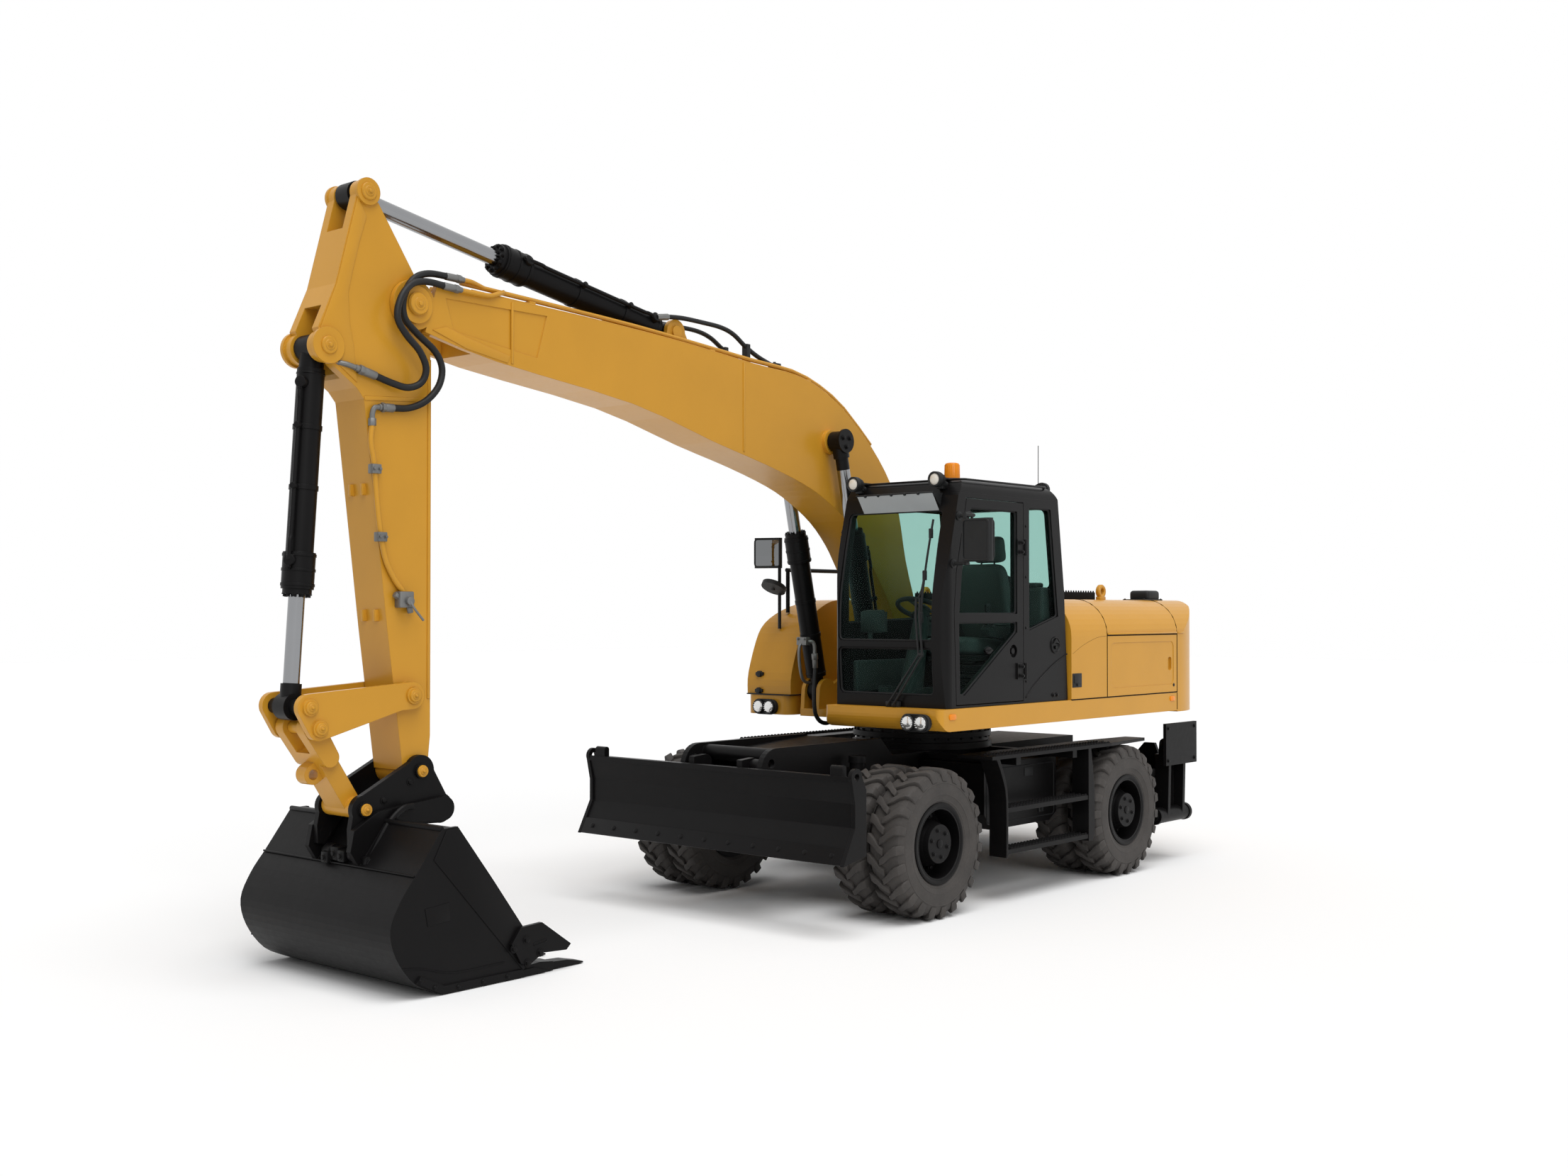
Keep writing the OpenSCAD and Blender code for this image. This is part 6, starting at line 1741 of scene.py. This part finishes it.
class EXCAVATOR_OT_ram_hoses(bpy.types.Operator):
    """Lays the hoses, elbows and clamps at the feet of the boom and stick cylinders"""

    bl_idname = "excavator.ram_hoses"
    bl_label = "Cylinder hoses"

    RADIUS = 0.017
    # Paths on the left of the arm's middle; the right ones mirror them
    BOOM_RAM = (
        (0.728, -0.08, 1.69), (0.752, -0.092, 1.6), (0.775, -0.106, 1.5), (0.787, -0.118, 1.395),
        (0.7706, -0.12, 1.3175), (0.7175, -0.12, 1.2644), (0.645, -0.12, 1.245), (0.575, -0.12, 1.256),
        (0.505, -0.12, 1.276),
    )
    BOOM_RAM_NUT = ((0.742, -0.085, 1.785), (0.738, -0.084, 1.758), (0.745, -0.086, 1.806))
    BOOM_RAM_ELBOW = (
        (0.79, -0.055, 1.903), (0.762, -0.078, 1.898), (0.749, -0.088, 1.862), (0.744, -0.086, 1.8),
    )
    BOOM_RAM_PIPE = (
        (0.8, 0.0, 1.9), (0.834, 0.0, 1.85), (0.833, 0.0, 1.74), (0.806, 0.0, 1.625),
        (0.762, 0.0, 1.578), (0.69, 0.0, 1.566),
    )
    BOOM_RAM_Y = (-0.01, -0.59)
    STICK_RAM = (
        (1.62, -0.19, 3.985), (1.79, -0.19, 4.035), (1.93, -0.188, 4.095), (2.06, -0.184, 4.165),
        (2.2, -0.18, 4.198), (2.4, -0.172, 4.206), (2.6, -0.166, 4.208), (2.74, -0.174, 4.2),
        (2.835, -0.19, 4.187),
    )
    BOOM_RUN = (
        (0.62, -0.19, 3.6), (0.84, -0.19, 3.735), (1.05, -0.19, 3.845), (1.3, -0.19, 3.925),
        (1.56, -0.19, 3.972),
    )

    def mirrored(self, points, hand):
        """Same path on the hand's side of the arm's middle plane."""
        if hand == "left":
            return points
        return [(x, 2 * ARM_MIDDLE - y, z) for x, y, z in points]

    def boom_ram(self, hand, y):
        """Adds one hose and returns the fittings on the cylinder and on the house."""
        line = self.mirrored(self.BOOM_RAM, hand)
        hose(f"boom_ram_hose_{hand}", line, self.RADIUS, ("boom_barrels", "house"), line[1], line[5])
        sleeve_end, nut_start, nut_end = self.mirrored(self.BOOM_RAM_NUT, hand)
        on_ram = bars((line[0], sleeve_end, 0.022, 20, 0.003), (nut_start, nut_end, 0.027, 6, 0.003))
        on_ram.append(tube(self.mirrored(self.BOOM_RAM_ELBOW, hand), 0.0155, 5, 3))
        on_ram.append(tube(self.mirrored(self.BOOM_RAM_PIPE, hand), 0.0125, 5, 3))
        on_ram.append(block((0.762, y - 0.052, 1.872), (0.822, y + 0.052, 1.938), 0.006))
        on_ram += bolts(FORWARD, 0.018, 0.012, ((0.822, y + shift, 1.922) for shift in (-0.034, 0.034)))
        foot_y = line[-1][1]
        on_house = [
            block((0.44, foot_y - 0.03, 1.258), (0.512, foot_y + 0.03, 1.302), 0.006),
            bar((0.53, foot_y, 1.27), (0.505, foot_y, 1.277), 0.024, 6, 0.003),
        ]
        return on_ram, on_house

    def stick_ram(self, hand):
        """Adds one hose and returns the fittings on the boom and on the cylinder."""
        line = self.mirrored(self.STICK_RAM, hand)
        hose(f"stick_ram_hose_{hand}", line, self.RADIUS, ("boom", "stick_barrel"), line[4], line[7])
        y = line[1][1]
        on_boom = blocks(
            ((1.56, y - 0.034, 3.93), (1.64, y + 0.034, 4.006), 0.006),
            ((1.895, y - 0.026, 3.945), (1.935, y + 0.026, 4.112), 0.005),
        )
        on_boom.append(bolt((1.6, y, 4.005), UP, 0.024))
        on_boom.append(tube(self.mirrored(self.BOOM_RUN, hand), self.RADIUS, 6, 4))
        return on_boom, [bar(line[-1], line[-2], 0.024, 6, 0.003)]

    def execute(self, context):
        on_house, on_boom, on_rams, on_stick_ram = [], [], [], []
        for hand, y in zip(("left", "right"), self.BOOM_RAM_Y):
            ram_parts, house_parts = self.boom_ram(hand, y)
            on_rams += ram_parts
            on_house += house_parts
            boom_parts, nuts = self.stick_ram(hand)
            on_boom += boom_parts
            on_stick_ram += nuts
        piece(on_rams, "boom_ram_fittings", "block", "boom_barrels")
        piece(on_house, "hose_bulkheads", "frame", "house")
        piece(on_boom, "boom_hose_clamps", "hose", "boom")
        piece(on_stick_ram, "stick_ram_nuts", "block", "stick_barrel")
        return {"FINISHED"}


class EXCAVATOR_OT_bucket_details(bpy.types.Operator):
    """Adds the bucket's seams and bolts, the coupler's lock and the blade's cutting edge"""

    bl_idname = "excavator.bucket_details"
    bl_label = "Bucket and blade details"

    CUTTER_BOLTS = ((4.561, 0.223), (4.654, 0.184), (4.456, 0.134), (4.551, 0.087))
    CUTTER_SLOT = ((4.505, 0.178), (4.5, 0.194), (4.408, 0.206), (4.406, 0.19))
    CUTTER_FACE = 0.486
    WEAR_BOLTS = ((5.3, 0.103), (5.204, 0.052), (5.042, 0.03), (4.866, 0.03), (4.69, 0.03))
    SIDE_PLATE = ((5.207, 0.757), (4.56, 0.036), (4.566, 0.29), (4.79, 0.592), (5.044, 0.924), (5.12, 0.915))
    SIDE_SEAM = ((5.417, 0.185), (5.288, 0.168), (5.061, 0.112), (4.705, 0.112))
    BADGE = ((5.266, 0.494), (5.1, 0.51), (5.094, 0.409), (5.247, 0.392))
    COUPLER_HOSE = (
        (4.975, -0.046, 1.0), (5.055, -0.044, 0.99), (5.155, -0.044, 0.905), (5.276, -0.044, 0.722),
    )
    BOSS = ((0.0, 0.0), (0.043, 0.0), (0.045, 0.006), (0.045, 0.066), (0.04, 0.072), (0.0, 0.072))
    # Place across, height and half size of the lock's blocks
    LOCK_BLOCKS = ((-0.225, 0.73, 0.034), (-0.3, 0.738, 0.04), (-0.37, 0.712, 0.034))
    EDGE = ((2.5214, 0.6), (2.575, 0.495), (2.5857, 0.5005), (2.5321, 0.6055))

    def bucket_side(self):
        parts = [plate(self.SIDE_PLATE, 0.456, 0.465, 0.002)]
        parts.append(plate(self.BADGE, 0.458, 0.4635, 0.002))
        parts += bolts(LEFT, 0.036, 0.014, at_y(self.CUTTER_BOLTS, self.CUTTER_FACE))
        parts += bolts(LEFT, 0.022, 0.008, at_y(self.WEAR_BOLTS, 0.474))
        parts.append(frame_tube(at_y(rounded(self.CUTTER_SLOT, 0.008), self.CUTTER_FACE), 0.004))
        parts.append(tube(at_y(self.SIDE_SEAM, 0.462), 0.0045, 6, 2))
        return joined(parts)

    def execute(self, context):
        middle = Matrix.Translation((0, ARM_MIDDLE, 0))
        left = self.bucket_side()
        parts = [left, copied(left, middle @ MIRROR_Y @ middle.inverted())]
        parts += bars(
            ((5.338, -1.056, 0.684), (5.338, 0.456, 0.684), 0.006, 12, 0),
            ((5.148, -1.056, 0.925), (5.148, 0.456, 0.925), 0.016, 16, 0.003),
            ((5.29, -0.02, 0.705), (5.29, -0.004, 0.705), 0.026, 20, 0.003),
            ((5.305, -0.46, 0.742), (5.305, -0.14, 0.742), 0.022, 20, 0.003),
        )
        parts.append(tube(self.COUPLER_HOSE, 0.02, 6, 3))
        parts.append(block((5.24, -0.072, 0.672), (5.32, -0.018, 0.74), 0.01))
        for y in (-0.15, -0.4):
            spot = Vector((5.3, y - 0.025, 0.742))
            parts.append(lathe(self.BOSS, spot, spot + LEFT, 32))
        for y, z, size in self.LOCK_BLOCKS:
            x = 5.15 + (0.925 - z) * 0.743
            parts.append(block((x - 0.02, y - size, z - size), (x + 0.058, y + size, z + size), 0.008))
            parts.append(bolt((x + 0.058, y, z), FORWARD, 0.03, 0.012))
        piece(parts, "bucket_hardware", "frame", "bucket")

        parts = []
        for x, z in ((5.136, 1.041), (4.951, 1.135)):
            for face, out in ((-0.11, 1), (-0.49, -1)):
                parts.append(bolt((x, face, z), (0, out, 0), 0.034, 0.012))
        piece(parts, "coupler_bolts", "frame", "bucket")

        parts = [plate(self.EDGE, -1.268, 1.268, 0.002)]
        for index in range(11):
            y = -1.15 + index * 0.23
            parts.append(bar((2.5485, y, 0.5503), (2.5632, y, 0.5578), 0.017, 20, 0.002))
        piece(parts, "blade_edge", "frame", "blade")
        return {"FINISHED"}


class EXCAVATOR_OT_chassis_details(bpy.types.Operator):
    """Adds the saw-tooth treads, tool box seams, latches and the outriggers' caps"""

    bl_idname = "excavator.chassis_details"
    bl_label = "Chassis details"

    PITCH = 0.042
    TOOTH = 0.013
    # Start and end of the strips along X, height, and the low sides of the strips
    STRIPS = (
        (-0.47, 0.655, 0.395, (1.148, 1.2, 1.252)),
        (-0.47, 0.655, 0.7, (1.148, 1.2, 1.252)),
        (-0.82, 0.86, 1.09, (1.15, 1.205, 1.256)),
    )
    PAD_CAP = ((0.0, 0.014), (0.02, 0.014), (0.03, 0.008), (0.034, 0.0), (0.0, 0.0))

    def saw(self, start, end, foot, low, high):
        """Saw-tooth strip along X."""
        count = int((end - start) / self.PITCH)
        top = foot + self.TOOTH
        points = [(start, foot - 0.006)]
        for index in range(count):
            x = start + index * self.PITCH
            points += [(x, foot + 0.002), (x + self.PITCH * 0.3, top), (x + self.PITCH * 0.7, top)]
        points += [(start + count * self.PITCH, foot + 0.002), (start + count * self.PITCH, foot - 0.006)]
        return plate(list(reversed(points)), low, high, 0.0008)

    def execute(self, context):
        treads = []
        for start, end, top, lows in self.STRIPS:
            treads += [self.saw(start, end, top, low, low + 0.008) for low in lows]
        left = joined(treads)
        piece([left, copied(left, MIRROR_Y)], "tread_teeth", "tread", "chassis")

        parts = [frame_tube(at_y(rectangle(-0.395, 0.545, 0.545, 0.955, 0.03), 0.999), 0.005)]
        for x in (-0.2, 0.35):
            parts.append(block((x - 0.035, 0.997, 0.575), (x + 0.035, 1.01, 0.625), 0.004))
            parts.append(bar((x, 1.008, 0.6), (x, 1.02, 0.6), 0.014, 20, 0.003))
        parts.append(block((-0.09, 0.997, 0.868), (0.03, 1.004, 0.936), 0.002))
        left = joined(parts)
        piece([left, copied(left, MIRROR_Y)], "tool_box_trim", "plastic", "chassis")

        parts = bolts(LEFT, 0.026, 0.012, ((x, 1.249, z) for x in (-2.29, -1.82) for z in (0.875, 1.15)))
        for x, way in ((-2.207, -1), (-1.903, 1)):
            parts.append(lathe(self.PAD_CAP, (x, 1.165, 1.01), (x + way, 1.165, 1.01), 28))
        left = joined(parts)
        piece([copied(left, MIRROR_Y)], "pad_hardware_right", "frame", "pad_right")
        piece([left], "pad_hardware_left", "frame", "pad_left")
        return {"FINISHED"}


class EXCAVATOR_PT_panel(bpy.types.Panel):
    """Lists the steps that dress the excavator"""

    bl_label = "Excavator"
    bl_idname = "EXCAVATOR_PT_panel"
    bl_space_type = "VIEW_3D"
    bl_region_type = "UI"
    bl_category = "Excavator"

    def draw(self, context):
        for settings in (context.scene.excavator_colours, context.scene.excavator_sizes):
            for name in settings.__annotations__:
                self.layout.prop(settings, name)
        for operator in OPERATORS:
            self.layout.operator(operator.bl_idname)


OPERATORS = (
    EXCAVATOR_OT_finishes,
    EXCAVATOR_OT_tyres,
    EXCAVATOR_OT_rims,
    EXCAVATOR_OT_arm_hoses,
    EXCAVATOR_OT_cylinders,
    EXCAVATOR_OT_pins,
    EXCAVATOR_OT_arm_plates,
    EXCAVATOR_OT_cab_trim,
    EXCAVATOR_OT_cab_inside,
    EXCAVATOR_OT_lamps,
    EXCAVATOR_OT_house,
    EXCAVATOR_OT_ram_hoses,
    EXCAVATOR_OT_bucket_details,
    EXCAVATOR_OT_chassis_details,
    EXCAVATOR_OT_stage,
)
CLASSES = (ExcavatorColours, ExcavatorSizes, *OPERATORS, EXCAVATOR_PT_panel)


def register():
    for cls in CLASSES:
        bpy.utils.register_class(cls)
    bpy.types.Scene.excavator_colours = bpy.props.PointerProperty(type=ExcavatorColours)
    bpy.types.Scene.excavator_sizes = bpy.props.PointerProperty(type=ExcavatorSizes)


def unregister():
    del bpy.types.Scene.excavator_sizes
    del bpy.types.Scene.excavator_colours
    for cls in reversed(CLASSES):
        bpy.utils.unregister_class(cls)


def main():
    register()
    for operator in OPERATORS:
        getattr(bpy.ops.excavator, operator.bl_idname.split(".")[1])()
    deselect()
    visual_box = [list(corner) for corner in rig.bounds()]
    with open(SIZE_FILE, "w") as file:
        json.dump({"cad": CAD_BOX, "visual": visual_box}, file)


if __name__ == "__main__":
    main()
